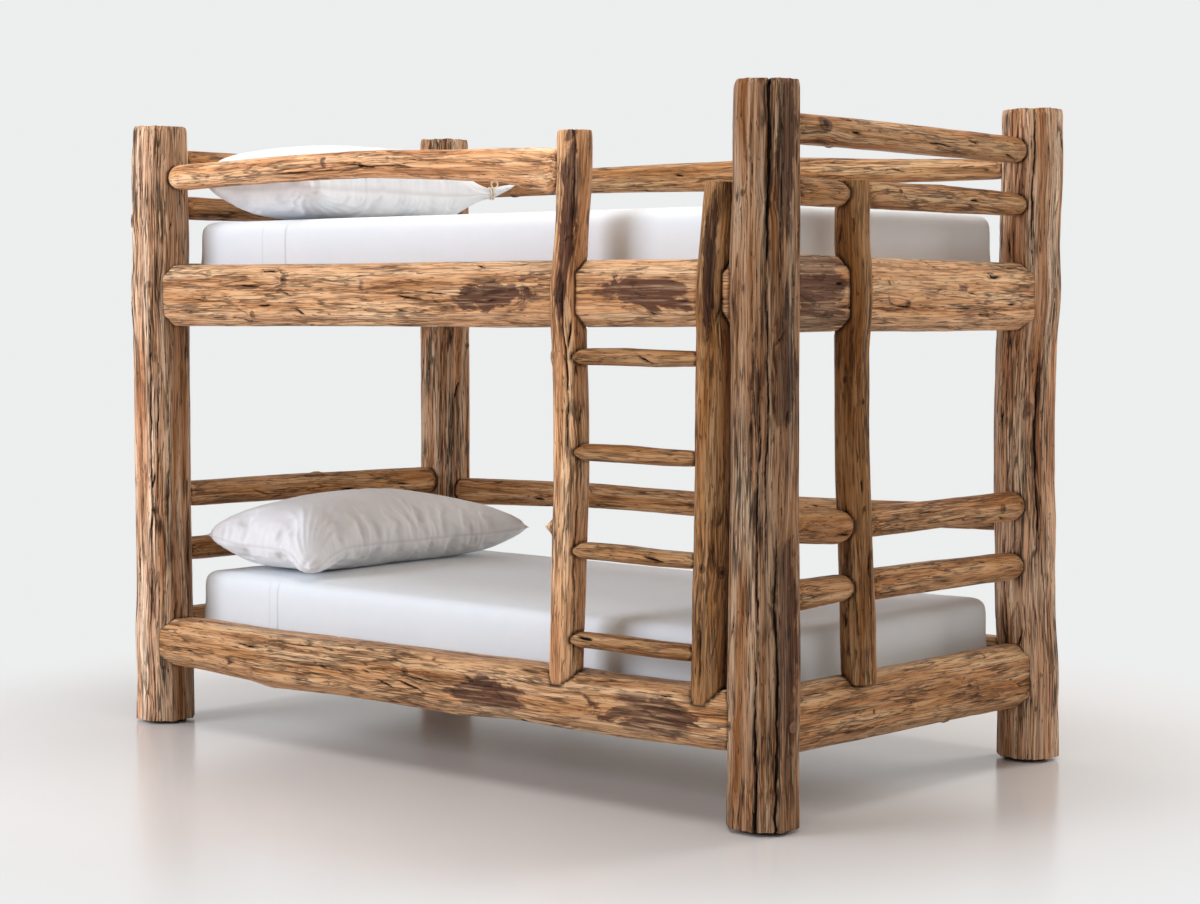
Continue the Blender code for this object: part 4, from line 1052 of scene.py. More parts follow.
def tube_mesh(name: str, points: Array, rows: int, columns: int, places: Array, size: Array) -> Mesh:
    """A closed tube of rows and columns, with a pole at each end and an unrolled map.

    Args:
        name: the mesh's name.
        points: all points, row by row, and the two poles last.
        rows: number of rows.
        columns: number of columns.
        places: places of the rows along the tube.
        size: radius of each point.

    Returns:
        The mesh, with smooth faces that point outwards.
    """
    k = np.arange(columns)
    after = (k + 1) % columns
    base = np.arange(rows - 1)[:, None] * columns
    quads = np.stack((base + k, base + after, base + columns + after, base + columns + k), axis=2)
    quads = quads.reshape(-1, 4)
    first, last = rows * columns, rows * columns + 1
    top = (rows - 1) * columns
    low_fan = np.stack((np.full(columns, first), after, k), axis=1)
    high_fan = np.stack((np.full(columns, last), top + k, top + after), axis=1)
    mesh = bpy.data.meshes.new(name)
    mesh.from_pydata(points.tolist(), [], [*quads.tolist(), *low_fan.tolist(), *high_fan.tolist()])
    mean = size.mean(axis=1)
    steps = np.hypot(np.diff(places), np.diff(mean))
    run = np.concatenate(((mean[0],), mean[0] + np.cumsum(steps)))
    run = run / (run[-1] + mean[-1])
    u = k / columns
    u_next = (k + 1) / columns
    low, high = run[:-1, None], run[1:, None]
    wide = (rows - 1, columns)
    corners_map = (u, low, u_next, low, u_next, high, u, high)
    flat = np.stack([np.broadcast_to(part, wide) for part in corners_map], 2)
    half = (u + u_next) / 2
    start = np.full(columns, run[0])
    end = np.full(columns, run[-1])
    low_map = np.stack((half, np.zeros(columns), u_next, start, u, start), axis=1)
    high_map = np.stack((half, np.ones(columns), u, end, u_next, end), axis=1)
    layer = mesh.uv_layers.new(name=MAP_NAME)
    unrolled = np.concatenate((flat.ravel(), low_map.ravel(), high_map.ravel()))
    layer.uv.foreach_set("vector", unrolled.astype(np.float32))
    mesh.validate()
    mesh.shade_smooth()
    return mesh


@dataclass
class Timber:
    """The logs of the bed, each in place of its CAD solid."""

    nodes: dict[str, Object]
    check_depth: float = 0.010
    groove_depth: float = 0.0020
    knot_rise: float = 0.0035
    rail_tenon: float = 0.020  # length of each kind of tenon, which its skin leaves off
    post_tenon: float = 0.034
    upright_tenon: float = 0.022
    rung_tenon: float = 0.014
    logs: list[Log] = field(default_factory=list)

    def __post_init__(self) -> None:
        """List the logs."""
        self.add_posts()
        self.add_heavy_rails()
        self.add_guards()
        self.add_ladder()

    def add_posts(self) -> None:
        """The four hewn posts."""
        shapes = {
            # The foot-front post's low tone is partly its darker wood and partly painted shade, as less of
            # the key's light reaches it.
            "post_foot_front": {"tone": 0.63, "checks": (
                Check(1.28, 1.95, -46, 0.0040), Check(0.60, 1.40, -48, 0.0020),
                Check(-0.30, 0.70, -30, 0.0030), Check(-0.15, 0.42, -66, 0.0034),
                Check(0.38, 1.02, -62, 0.0022), Check(0.78, 1.36, -76, 0.0018),
                Check(1.22, 1.73, -22, 0.0016), Check(1.10, 1.14, -40, 0.0020, 0.9),
            ), "knots": (Knot(1.42, -47, 0.008),), "stains": (
                Stain(1.55, -8, 0.40, 0.07), Stain(1.05, -12, 0.30, 0.08), Stain(0.45, -10, 0.50, 0.08),
            )},
            # The head-front post's foot side is darkened as painted shade.
            "post_head_front": {"tone": 1.27, "foot_side_shade": 0.60, "checks": (
                Check(0.30, 1.20, -62, 0.0022), Check(1.10, 1.46, -116, 0.0022),
                Check(1.30, 1.73, -84, 0.0016),
            ), "knots": (Knot(1.43, -118, 0.013),)},
            "post_foot_back": {"tone": 1.02, "checks": (
                Check(0.55, 1.10, -38, 0.0026), Check(1.25, 1.74, -58, 0.0022),
            )},
            "post_head_back": {"tone": 0.78},
        }
        for seed, (node, looks) in enumerate(shapes.items(), start=1):
            self.logs.append(Log(
                node, Run.UPRIGHT, POST_WOOD, columns=160, row_step=0.006, bridge=0.22, seed=seed,
                seen_ends=(True, True), soften=3.0, random_checks=7.0, short_checks=8.0, random_knots=1.8,
                **looks,
            ))

    def add_heavy_rails(self) -> None:
        """The side rails and end rails, with the upper ones paler."""
        side_stains = (Stain(0.28, 186, 0.30, 0.10), Stain(0.77, 180, 0.28, 0.11))
        side_checks = (
            Check(-0.07, 0.03, 180, 0.0030, 0.22), Check(-0.06, 0.12, 164, 0.0018, 0.12),
            Check(-0.92, -0.83, 184, 0.0016, 0.20), Check(-0.70, -0.60, 152, 0.0020, 0.05),
        )
        end_looks = {
            "stains": (Stain(-0.42, 90, 0.22, 0.24),), "checks": (Check(-0.34, 0.56, 122, 0.0013),)}
        alike = {"row_step": 0.008, "bridge": 0.13, "tenons": (self.rail_tenon, self.rail_tenon),
                 "soften": 3.6, "square": 0.045, "random_checks": 1.6, "short_checks": 12.0}
        seed = 20
        # The upper end rails' high tone is partly paler wood and partly painted light, standing in for the
        # glare from the right-back.
        for level, side_tone, end_tone in (("upper", 1.12, 1.27), ("lower", 0.97, 0.93)):
            for side in ("front", "back"):
                looks = {"stains": side_stains, "checks": side_checks} if side == "front" else {}
                self.logs.append(Log(
                    f"{level}_side_rail_{side}", Run.ALONG_X, RAIL_WOOD, columns=140, seed=seed,
                    tone=side_tone, random_knots=2.2, **alike, **looks,
                ))
                seed += 1
            for end in ("head", "foot"):
                looks = end_looks if level == "upper" else {}
                self.logs.append(Log(
                    f"{level}_end_rail_{end}", Run.ALONG_Y, RAIL_WOOD, columns=130, seed=seed,
                    tone=end_tone, random_knots=2.6, **alike, **looks,
                ))
                seed += 1

    def add_guards(self) -> None:
        """The guard rails round both bunks."""
        whole = (self.post_tenon, self.post_tenon)
        rails = [("upper_guard_back", Run.ALONG_X, whole), ("lower_guard_back", Run.ALONG_X, whole),
                 ("front_guard_rail", Run.ALONG_X, (self.post_tenon, self.upright_tenon)),
                 ("foot_guard_top", Run.ALONG_Y, whole)]
        for word in ("top", "second", "high", "low"):
            rails.append((f"head_guard_{word}", Run.ALONG_Y, whole))
        for word in ("second", "high", "low"):
            rails.append((f"foot_guard_{word}_front", Run.ALONG_Y, (self.post_tenon, self.upright_tenon)))
            rails.append((f"foot_guard_{word}_back", Run.ALONG_Y, (self.upright_tenon, self.post_tenon)))
        shapes = {
            "front_guard_rail": {"tone": 1.42, "knots": (Knot(-0.20, 184, 0.006),), "checks": (
                Check(-0.28, -0.14, 176, 0.0020, 0.10), Check(-0.22, -0.17, 168, 0.0018, 0.45),
                Check(-0.13, 0.09, 158, 0.0012), Check(-0.90, -0.86, 184, 0.0024, 0.3),
            )},
            "upper_guard_back": {"tone": 0.80},
            "foot_guard_top": {"knots": (Knot(-0.39, 70, 0.017),)},
        }
        for seed, (node, run, tenons) in enumerate(rails, start=40):
            looks = {"tone": 0.87, **shapes.get(node, {})}
            self.logs.append(Log(
                node, run, RAIL_WOOD, columns=88, row_step=0.008, bridge=0.02, seed=seed, tenons=tenons,
                soften=15.0, random_checks=1.6, **looks,
            ))

    def add_ladder(self) -> None:
        """The ladder's stiles and rungs, and the foot upright."""
        shapes = {
            "ladder_stile_left": {"tone": 1.22, "nubs": (Knot(0.66, 222, 0.008),), "stains": (
                Stain(1.44, -60, 0.30, 0.05), Stain(1.22, -70, 0.14, 0.03),
            )},
            "ladder_stile_right": {"tone": 0.65, "stains": (Stain(1.30, -70, 0.3, 0.04),)},
            "foot_upright": {"tone": 0.61},
        }
        for seed, (node, looks) in enumerate(shapes.items(), start=60):
            self.logs.append(Log(
                node, Run.UPRIGHT, RAIL_WOOD, columns=104, row_step=0.007, bridge=0.24, seed=seed,
                seen_ends=(True, True), soften=12.0, random_checks=4.0, short_checks=8.0, random_knots=2.0,
                **looks,
            ))
        for count in range(1, 5):
            self.logs.append(Log(
                f"ladder_rung_{count}", Run.ALONG_X, RAIL_WOOD, columns=64, row_step=0.006, bridge=0.02,
                seed=64 + count, tenons=(self.rung_tenon, self.rung_tenon), soften=13.0, tone=0.71,
                random_checks=2.0, short_checks=4.0, random_knots=1.0,
            ))

    def build(self) -> None:
        """Skin, weather and place every log."""
        solids = Solids(self.nodes)
        names = [log.node for log in self.logs]
        weather = log_tree()
        woods = {finish: finish.material() for finish in (POST_WOOD, RAIL_WOOD)}
        for log in self.logs:
            piece = log.skin(solids, names)
            wood = log.finish
            run_tree(piece, weather, {
                "Check Depth": self.check_depth, "Fissure Depth": wood.split_depth,
                "Fissure Width": wood.split_size[0], "Fissure Length": wood.split_size[1],
                "Hew Depth": wood.hew_depth, "Hew Width": wood.hew_size[0], "Hew Length": wood.hew_size[1],
                "Knot Rise": self.knot_rise, "Groove Depth": self.groove_depth, "Wood": woods[wood],
            })
            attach(piece, "frame")
            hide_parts(log.node)
            REPORT.info("log %s: %d faces", piece.name, len(piece.data.polygons))


@dataclass(frozen=True)
class SawnFinish:
    """Sawn and planed softwood, or a turned plug of it, left bare.

    The saw and planer leave it even, so the eye gets only fine growth lines along the length. The lines,
    1 to 3 mm apart on real boards, are kept at that size.
    """

    name: str
    slot: str
    colour: str
    line: str
    scale: tuple[float, float, float]
    roughness: float = 0.66
    bump_strength: float = 0.3
    bump_depth: float = 0.0008

    def material(self) -> Material:
        """Build the finish.

        Returns:
            The material.
        """
        material, tree = empty_material(self.name)
        place = add_node(tree, "ShaderNodeTexCoord").outputs["Object"]
        noise = stretched_noise(tree, place, self.scale, detail=4.0, distortion=0.3).outputs["Fac"]
        bump = add_node(tree, "ShaderNodeBump", {}, {
            "Strength": self.bump_strength, "Distance": self.bump_depth, "Height": noise})
        lines = map_range(tree, noise, 0.35, 0.70)
        end_surface(tree, {
            "Base Color": mix_colour(tree, lines, linear(self.colour), linear(self.line)),
            "Roughness": self.roughness, "Normal": bump.outputs["Normal"]})
        return material


@dataclass(frozen=True)
class PlainFinish:
    """Zinc-plated steel or moulded rubber: even, with a fine mottle from plating or mould."""

    name: str
    slot: str
    colour: str
    metal: float
    roughness: float
    unevenness: float = 0.08  # how far the roughness goes up and down
    mottle: float = 0.004

    def material(self) -> Material:
        """Build the finish.

        Returns:
            The material.
        """
        material, tree = empty_material(self.name)
        place = add_node(tree, "ShaderNodeTexCoord").outputs["Object"]
        noise = add_node(tree, "ShaderNodeTexNoise", {}, {
            "Vector": place, "Scale": 1 / self.mottle, "Detail": 3.0})
        gloss = map_range(tree, noise.outputs["Fac"], 0.3, 0.7, self.roughness - self.unevenness,
                          self.roughness + self.unevenness)
        end_surface(tree, {
            "Base Color": linear(self.colour), "Metallic": self.metal, "Roughness": gloss})
        return material


@dataclass(frozen=True)
class ClothFinish:
    """Plain-woven cotton, washed and pulled smooth.

    Its loose fibres give a soft bright edge and no highlight. The weave is about 0.3 mm and too fine to
    show, so the threads are drawn about 2 mm wide and very shallow. Hand-smoothed creases are a few
    centimetres long.
    """

    name: str
    slot: str
    colour: str
    # the colour of the creases' hollows, darker as painted shade
    shade: str
    thread: float = 0.0021
    slub: float = 0.030
    crease: float = 0.055
    # a grey line of painted shade along the seams and the hem's edges
    seam_shade: str = "#A9A2A2"
    seam_shade_share: float = 0.24  # how far the painted shade covers the cloth at a seam
    weave_strength: float = 0.16
    weave_depth: float = 0.0006
    crease_strength: float = 0.08
    crease_depth: float = 0.0040
    roughness: float = 0.92
    specular: float = 0.20
    sheen: float = 0.15
    sheen_roughness: float = 0.5

    def material(self) -> Material:
        """Build the cloth.

        Returns:
            The material.
        """
        material, tree = empty_material(self.name)
        place = add_node(tree, "ShaderNodeTexCoord").outputs["Object"]
        fine, long = 1 / self.thread, 1 / self.slub
        threads = [stretched_noise(tree, place, scale, detail=1.0).outputs["Fac"]
                   for scale in ((fine, long, fine), (long, fine, long))]
        crease = add_node(tree, "ShaderNodeTexNoise", {}, {
            "Vector": place, "Scale": 1 / self.crease, "Detail": 4.0, "Roughness": 0.55, "Distortion": 0.8})
        # The cloth is a little darker in the hollows of the creases: painted shade.
        crease_lit = map_range(tree, crease.outputs["Fac"], 0.3, 0.7)
        cloth = mix_colour(tree, crease_lit, linear(self.shade), linear(self.colour))
        seam = add_node(tree, "ShaderNodeAttribute", {"attribute_name": "seam"})
        # Along the seam attribute a grey line of painted shade is mixed in.
        sewn = map_range(tree, seam.outputs["Fac"], 0.62, 0.95, 0.0, self.seam_shade_share)
        weave = add_node(tree, "ShaderNodeBump", {}, {
            "Strength": self.weave_strength, "Distance": self.weave_depth,
            "Height": math_node(tree, "ADD", *threads)})
        folds = add_node(tree, "ShaderNodeBump", {}, {
            "Strength": self.crease_strength, "Distance": self.crease_depth,
            "Height": crease.outputs["Fac"], "Normal": weave.outputs["Normal"]})
        end_surface(tree, {
            "Base Color": mix_colour(tree, sewn, cloth, linear(self.seam_shade)), "Roughness": self.roughness,
            "Specular IOR Level": self.specular, "Sheen Weight": self.sheen,
            "Sheen Roughness": self.sheen_roughness, "Normal": folds.outputs["Normal"]})
        return material


SAWN_PINE = SawnFinish("sawn_pine_slats", "sawn_pine", "#D9BC90", "#B98F5E", (90.0, 3.0, 420.0))
PLUG_WOOD = SawnFinish("turned_plug", "post_wood", "#8A6546", "#5A3D28", (260.0, 260.0, 260.0))
STEEL = PlainFinish("plated_steel", "steel", "#A9A8A4", 1.0, 0.38)
RUBBER = PlainFinish("moulded_rubber", "rubber", "#1B1A19", 0.0, 0.70)
SHEET = ClothFinish("white_cotton_sheet", "white_cotton", "#EAF0F4", "#E8EEF2")
PILLOW_CASE = ClothFinish("cream_cotton_case", "cream_cotton", "#EAEBED", "#E7E7E9")
TIE_CLOTH = ClothFinish("tie_cotton", "cream_cotton", "#EAD9C6", "#DEC9B2")


def stud_tree() -> NodeTree:
    """Make the Geometry Nodes tree that sets a round head or plug on every point, facing its own way.

    Returns:
        The tree.
    """
    tree, given = shape_tree("studs", {
        "Sides": "Int", "Radius": "Float", "Depth": "Float", "Finish": "Material"})
    turned = add_node(tree, "FunctionNodeAlignRotationToVector", {"axis": "Z"}, {
        "Vector": named_attribute(tree, "facing", "FLOAT_VECTOR")})
    head = add_node(tree, "GeometryNodeMeshCylinder", {"fill_type": "NGON"}, {
        "Vertices": given["Sides"], "Radius": given["Radius"], "Depth": given["Depth"]})
    placed = add_node(tree, "GeometryNodeInstanceOnPoints", {}, {
        "Points": given["Geometry"], "Instance": head.outputs["Mesh"],
        "Rotation": turned.outputs["Rotation"]})
    end_shape(tree, placed.outputs["Instances"], given["Finish"])
    return tree


@dataclass
class Fittings:
    """Pads, bolts, screws, cleats and slats, and the plugs and screw heads that go with them."""

    nodes: dict[str, Object]
    plug_radius: float = 0.0135
    plug_depth: float = 0.012
    plug_proud: float = 0.0012
    plug_sides: int = 20
    screw_radius: float = 0.0046
    screw_depth: float = 0.0030
    screw_sides: int = 12
    screw_spacing: float = 0.30
    outside: float = 2.0  # clear of the bed on either end

    def build(self) -> None:
        """Dress the CAD pieces that stay and add plugs and screw heads."""
        self.dress()
        studs = stud_tree()
        self.stud("bolt_plugs", self.plug_places(), studs, PLUG_WOOD, {
            "Sides": self.plug_sides, "Radius": self.plug_radius, "Depth": self.plug_depth})
        self.stud("cleat_screws", self.screw_places(), studs, STEEL, {
            "Sides": self.screw_sides, "Radius": self.screw_radius, "Depth": self.screw_depth})

    def dress(self) -> None:
        """Give every CAD piece that stays its finish."""
        kinds = {"pad": RUBBER, "bolt": STEEL, "lap": STEEL, "upper_cleat": SAWN_PINE,
                 "lower_cleat": SAWN_PINE, "upper_slat": SAWN_PINE, "lower_slat": SAWN_PINE}
        made = {finish: finish.material() for finish in dict.fromkeys(kinds.values())}
        for name, node in self.nodes.items():
            for start, finish in kinds.items():
                if name.startswith(start + "_"):
                    for place in node.material_slots:
                        place.material = made[finish]

    def plug_places(self) -> list[tuple[Vector, Vector]]:
        """Where the plugs over the bolts sit, on the outer faces of the posts.

        Returns:
            The middle of each plug and the way it faces.
        """
        places = []
        for level in ("upper", "lower"):
            for end, outward in (("head", -1.0), ("foot", 1.0)):
                for side in ("front", "back"):
                    low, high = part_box(f"bolt_{level}_{end}_{side}")
                    post = bpy.data.objects[f"post_{end}_{side}_log"]
                    middle = (Vector(low) + Vector(high)) / 2
                    start = Vector((outward * self.outside, middle.y, middle.z))
                    found, spot = post.ray_cast(start, Vector((-outward, 0, 0)))[:2]
                    if found:
                        inward = self.plug_depth / 2 - self.plug_proud
                        places.append((spot - Vector((outward * inward, 0, 0)), Vector((outward, 0, 0))))
        return places

    def screw_places(self) -> list[tuple[Vector, Vector]]:
        """Where the cleats' screws sit, on the faces away from the rails.

        Returns:
            The middle of each head and the way it faces.
        """
        places = []
        for level in ("upper", "lower"):
            for side, inward in (("front", 1.0), ("back", -1.0)):
                low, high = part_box(f"{level}_cleat_{side}")
                face = high[1] if inward > 0 else low[1]
                count = int((high[0] - low[0]) / self.screw_spacing)
                for k in range(count):
                    x = low[0] + (k + 0.5) * (high[0] - low[0]) / count
                    places.append((Vector((x, face, (low[2] + high[2]) / 2)), Vector((0, inward, 0))))
        return places

    def stud(self, name: str, places: list[tuple[Vector, Vector]], studs: NodeTree,
             finish: SawnFinish | PlainFinish, sizes: dict[str, float]) -> None:
        """Set a head or plug on each place, as one piece.

        Args:
            name: the piece's name.
            places: middle and facing of each.
            studs: the Geometry Nodes tree.
            finish: its finish.
            sizes: the tree's sides, radius and depth.
        """
        mesh = bpy.data.meshes.new(name)
        mesh.from_pydata([place for place, _ in places], [], [])
        facing = mesh.attributes.new("facing", "FLOAT_VECTOR", "POINT")
        facing.data.foreach_set("vector", [x for _, way in places for x in way])
        piece = link_object(name, mesh)
        run_tree(piece, studs, {**sizes, "Finish": finish.material()})
        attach(piece, "frame")
        REPORT.info("%s: %d", name, len(places))


def box_skin(xs: Array, ys: Array, zs: Array) -> tuple[Array, list[tuple[int, ...]]]:
    """A grid over the six sides of a box.

    Args:
        xs: grid lines along X.
        ys: grid lines along Y.
        zs: grid lines along Z.

    Returns:
        The points, and the faces, which point outwards.
    """
    number: dict[tuple[int, int, int], int] = {}
    points = []

    def at(i: int, j: int, k: int) -> int:
        """Number of the point at a grid place."""
        if (i, j, k) not in number:
            number[(i, j, k)] = len(points)
            points.append((xs[i], ys[j], zs[k]))
        return number[(i, j, k)]

    faces = []
    cells = [len(lines) - 1 for lines in (xs, ys, zs)]
    ahead = ((0, 0), (1, 0), (1, 1), (0, 1))
    back = ((0, 0), (0, 1), (1, 1), (1, 0))
    # For each pair of sides: the axes along them, the axis across, and the way round that faces outwards.
    sides = ((0, 1, 2, (back, ahead)), (0, 2, 1, (ahead, back)), (1, 2, 0, (back, ahead)))
    for first, second, flat, loops in sides:
        place = [0, 0, 0]
        for a in range(cells[first]):
            for b in range(cells[second]):
                for level, loop in zip((0, cells[flat]), loops):
                    place[flat] = level
                    face = []
                    for step_a, step_b in loop:
                        place[first], place[second] = a + step_a, b + step_b
                        face.append(at(*place))
                    faces.append(tuple(face))
    return np.array(points), faces


@dataclass(frozen=True)
class ClothRun:
    """How the cloth solver shapes a closed skin of plain cotton under pressure."""

    frames: int
    pressure: float
    slack: float  # share by which the cloth is larger than the skin
    bending: float  # stiffness against folds
    quality: int = 4
    mass: float = 0.15
    air_damping: float = 2.0
    tension: float = 20.0
    shear: float = 8.0
    seam_pull: float = 0.07  # share by which a seam is sewn tighter than the cloth

    def settle(self, thing: Object, pins: Optional[Array] = None, seam: Optional[Array] = None) -> Array:
        """Run the solver on an object.

        Args:
            thing: the skin.
            pins: how firmly each point is held, or None.
            seam: numbers of the points of a tighter seam, or None.

        Returns:
            The settled points.
        """
        modifier = thing.modifiers.new("cloth", "CLOTH")
        cloth = modifier.settings
        cloth.quality = self.quality
        cloth.mass = self.mass
        cloth.air_damping = self.air_damping
        cloth.tension_stiffness = self.tension
        cloth.compression_stiffness = self.tension
        cloth.shear_stiffness = self.shear
        cloth.bending_stiffness = self.bending
        cloth.use_pressure = True
        cloth.uniform_pressure_force = self.pressure
        cloth.shrink_min = -self.slack
        cloth.effector_weights.gravity = 0.0
        if pins is not None:
            group = thing.vertex_groups.new(name="held")
            for i in np.nonzero(pins > 0)[0]:
                group.add([int(i)], float(pins[i]), "REPLACE")
            cloth.vertex_group_mass = "held"
        if seam is not None:
            group = thing.vertex_groups.new(name="seam")
            group.add(seam.tolist(), 1.0, "REPLACE")
            cloth.vertex_group_shrink = "seam"
            cloth.shrink_max = self.seam_pull
        modifier.point_cache.frame_start = 1
        modifier.point_cache.frame_end = self.frames
        scene = bpy.context.scene
        for frame in range(1, self.frames + 1):
            scene.frame_set(frame)
        points = read_points(thing.evaluated_get(bpy.context.evaluated_depsgraph_get()).data)
        thing.modifiers.clear()
        thing.vertex_groups.clear()
        scene.frame_set(1)
        return points


SHEET_RUN = ClothRun(frames=16, pressure=2.0, slack=0.012, bending=0.6)
CASE_RUN = ClothRun(frames=18, pressure=3.0, slack=0.015, bending=0.10)


def finish_soft(thing: Object, material: Material) -> None:
    """Refine a soft skin once, smooth its faces and give it its cloth.

    Args:
        thing: the skin.
        material: its cloth.
    """
    refine = thing.modifiers.new("refine", "SUBSURF")
    refine.levels = 1
    refine.render_levels = 1
    bake_modifiers(thing)
    thing.data.shade_smooth()
    thing.data.materials.clear()
    thing.data.materials.append(material)


def cord_tree() -> NodeTree:
    """Make the Geometry Nodes tree that sweeps a round cord along a path of edges.

    Returns:
        The tree.
    """
    tree, given = shape_tree("cord", {"Radius": "Float", "Sides": "Int", "Cloth": "Material"})
    path = add_node(tree, "GeometryNodeMeshToCurve", {}, {"Mesh": given["Geometry"]})
    round_section = add_node(tree, "GeometryNodeCurvePrimitiveCircle", {}, {
        "Resolution": given["Sides"], "Radius": given["Radius"]})
    swept = add_node(tree, "GeometryNodeCurveToMesh", {}, {
        "Curve": path.outputs["Curve"], "Profile Curve": round_section.outputs["Curve"], "Fill Caps": True})
    end_shape(tree, swept.outputs["Mesh"], given["Cloth"])
    return tree


@dataclass
class Bunk:
    """A mattress in a fitted sheet and a pillow in its case, on one deck."""

    level: str
    hem: Pair  # x of the edges of the sheet's hem on the sides
    seed: int
    cell: float = 0.020
    side_clear: float = 0.002  # the skin starts this far inside the CAD mattress
    edge: tuple[float, float, float] = (0.026, 0.026, 0.040)
    crown: float = 0.010
    tuck: Pair = (0.02, 0.05)  # heights between which the sheet comes free
    give: float = 0.006  # how far the sheet may move as it settles
    hem_rise: float = 0.0016
    hem_step: float = 0.001  # half the width of the step at the hem's edge
    hem_gap: float = 0.007  # no line of the grid lies closer to the hem's edge
    hem_end: Pair = (0.030, 0.008)  # depths under the top where the hem fades out
    seam_shade_width: float = 0.004
    bag: Pair = (0.545, 0.985)  # pillow case laid flat
    bag_cell: float = 0.0095
    swelling: float = 0.09  # half the thickness that the case is filled to
    seam_height: float = 0.072
    sit: float = 0.012
    rest_gap: float = 0.0015  # from the mattress to the pillow that lies on it
    fullness: float = 0.62  # power that fills out the flanks of its top at the front end
    taper: float = 0.0  # how much lower the pillow gets towards its back end
    tips: tuple[float, float, float, float] = (0.0, 0.0, 0.0, 0.0)  # how far its corners turn up
    fold_depth: float = 0.0034
    lesser_folds: float = 0.6  # share of that depth at all corners but the first
    folds: float = 38.0  # turn of the folds for each radian at a corner
    fold_start: Pair = (0.02, 0.08)  # distances from the corner where folds rise and fade
    fold_end: Pair = (0.12, 0.34)
    pucker_depth: float = 0.0016
    pucker_pitch: float = 0.024
    pucker_reach: float = 0.040  # how far from the seam they go
    seam_depth: float = 0.0015
    tied: bool = False  # whether the foot-back corner is tied
    tail: float = 0.136  # cloth beyond the tie, along the corner's diagonal
    neck: float = 0.085  # share of the cloth's width that the tie leaves
    cord: float = 0.0024  # radius of the tie's cord
    cord_sides: int = 8
    loop: float = 0.010  # radius of the loop that stands on it

    def build(self, sheet: Material, case: Material) -> None:
        """Make the mattress in the sheet's cloth and the pillow in the case's."""
        self.mattress(sheet)
        self.pillow(case)

    def mattress(self, sheet: Material) -> None:
        """Make the mattress: a rounded block, slackened and settled as cloth under pressure.

        Args:
            sheet: the sheet's cloth.
        """
        node = f"{self.level}_mattress"
        low, high = (np.array(corner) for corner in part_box(node))
        middle = (low + high) / 2
        half = (high - low) / 2 - self.side_clear
        half[2] = (high[2] - low[2] - self.crown) / 2
        middle[2] = low[2] + half[2]
        lines = []
        for axis in range(3):
            count = int(2 * half[axis] / self.cell)
            lines.append(np.linspace(-half[axis], half[axis], count + 1))
        near = self.hem_step * np.array((-3, -1, 1, 3))
        extra = [edge + near for edge in self.hem]
        kept = lines[0][np.all([np.abs(lines[0] - edge) > self.hem_gap for edge in self.hem], axis=0)]
        points, faces = box_skin(np.sort(np.concatenate([kept, *extra])), lines[1], lines[2])
        radius = np.array(self.edge)
        inner = np.clip(points, -(half - radius), half - radius)
        reach = (points - inner) / radius
        length = np.linalg.norm(reach, axis=1, keepdims=True)
        points = inner + radius * reach / np.maximum(length, TINY)
        share = (points / half) ** 2
        domed = self.crown * (1 - share[:, 0] ** 2) * (1 - share[:, 1])
        points[:, 2] += np.where(points[:, 2] > 0, domed, 0)
        points += middle
        mesh = bpy.data.meshes.new(node + "_sheet")
        mesh.from_pydata(points.tolist(), [], faces)
        piece = link_object(node + "_sheet", mesh)
        held = 1 - smooth_step(points[:, 2] - low[2], *self.tuck)
        moved = SHEET_RUN.settle(piece, held) - points
        move = np.linalg.norm(moved, axis=1, keepdims=True)
        moved *= np.minimum(1, self.give / np.maximum(move, TINY))
        normals = read_points(mesh, "normal")
        out = np.sum(moved * normals, axis=1, keepdims=True)
        moved -= np.maximum(out - self.side_clear, 0) * normals
        move_points(piece, points + moved)
        self.raise_hem(piece)
        finish_soft(piece, sheet)
        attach(piece, node)
        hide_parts(node)
        REPORT.info("%s: %d faces", piece.name, len(piece.data.polygons))

    def raise_hem(self, piece: Object) -> None:
        """Raise the sheet's doubled hem a thread or two above the rest.

        Args:
            piece: the mattress in its sheet.
        """
        points = read_points(piece.data)
        band = 1.0
        for edge, sign in zip(self.hem, (1, -1)):
            band *= smooth_step(sign * (points[:, 0] - edge), -self.hem_step, self.hem_step)
        deep, shallow = self.hem_end
        side = smooth_step(points[:, 2].max() - points[:, 2], shallow, deep)
        rise = (band * side)[:, None] * self.hem_rise
        move_points(piece, points + rise * read_points(piece.data, "normal"))
        # Along each edge of the hem a thin line is stored for painted shade, where the doubled cloth steps
        # up.
        line = np.min([np.abs(points[:, 0] - edge) for edge in self.hem], axis=0)
        write_attribute(piece.data, "seam", side * np.clip(1.3 - line / self.seam_shade_width, 0, 1))

    def pillow(self, case: Material) -> None:
        """Make the pillow: a flat case of two layers, blown up as cloth and pressed on its mattress.

        Args:
            case: the pillow case's cloth.
        """
        node = f"{self.level}_pillow"
        wide = int(self.bag[0] / self.bag_cell)
        long = int(self.bag[1] / self.bag_cell)
        points, faces, rim = self.flat_case(wide, long)
        mesh = bpy.data.meshes.new(node + "_case")
        mesh.from_pydata(points.tolist(), [], faces)
        write_attribute(mesh, "flat_u", points[:, 0])
        write_attribute(mesh, "flat_v", points[:, 1])
        # The rim is marked for the sunk seam and its line of painted shade.
        sewn = np.zeros(len(points))
        sewn[rim] = 1
        write_attribute(mesh, "seam", sewn)
        piece = link_object(node + "_case", mesh)
        points = CASE_RUN.settle(piece, seam=rim)
        move_points(piece, self.fit(points))
        finish_soft(piece, case)
        self.crumple(piece)
        self.press(piece)
        if self.tied:
            self.add_tie(piece)
        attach(piece, node)
        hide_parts(node)
        REPORT.info("%s: %d faces", piece.name, len(piece.data.polygons))

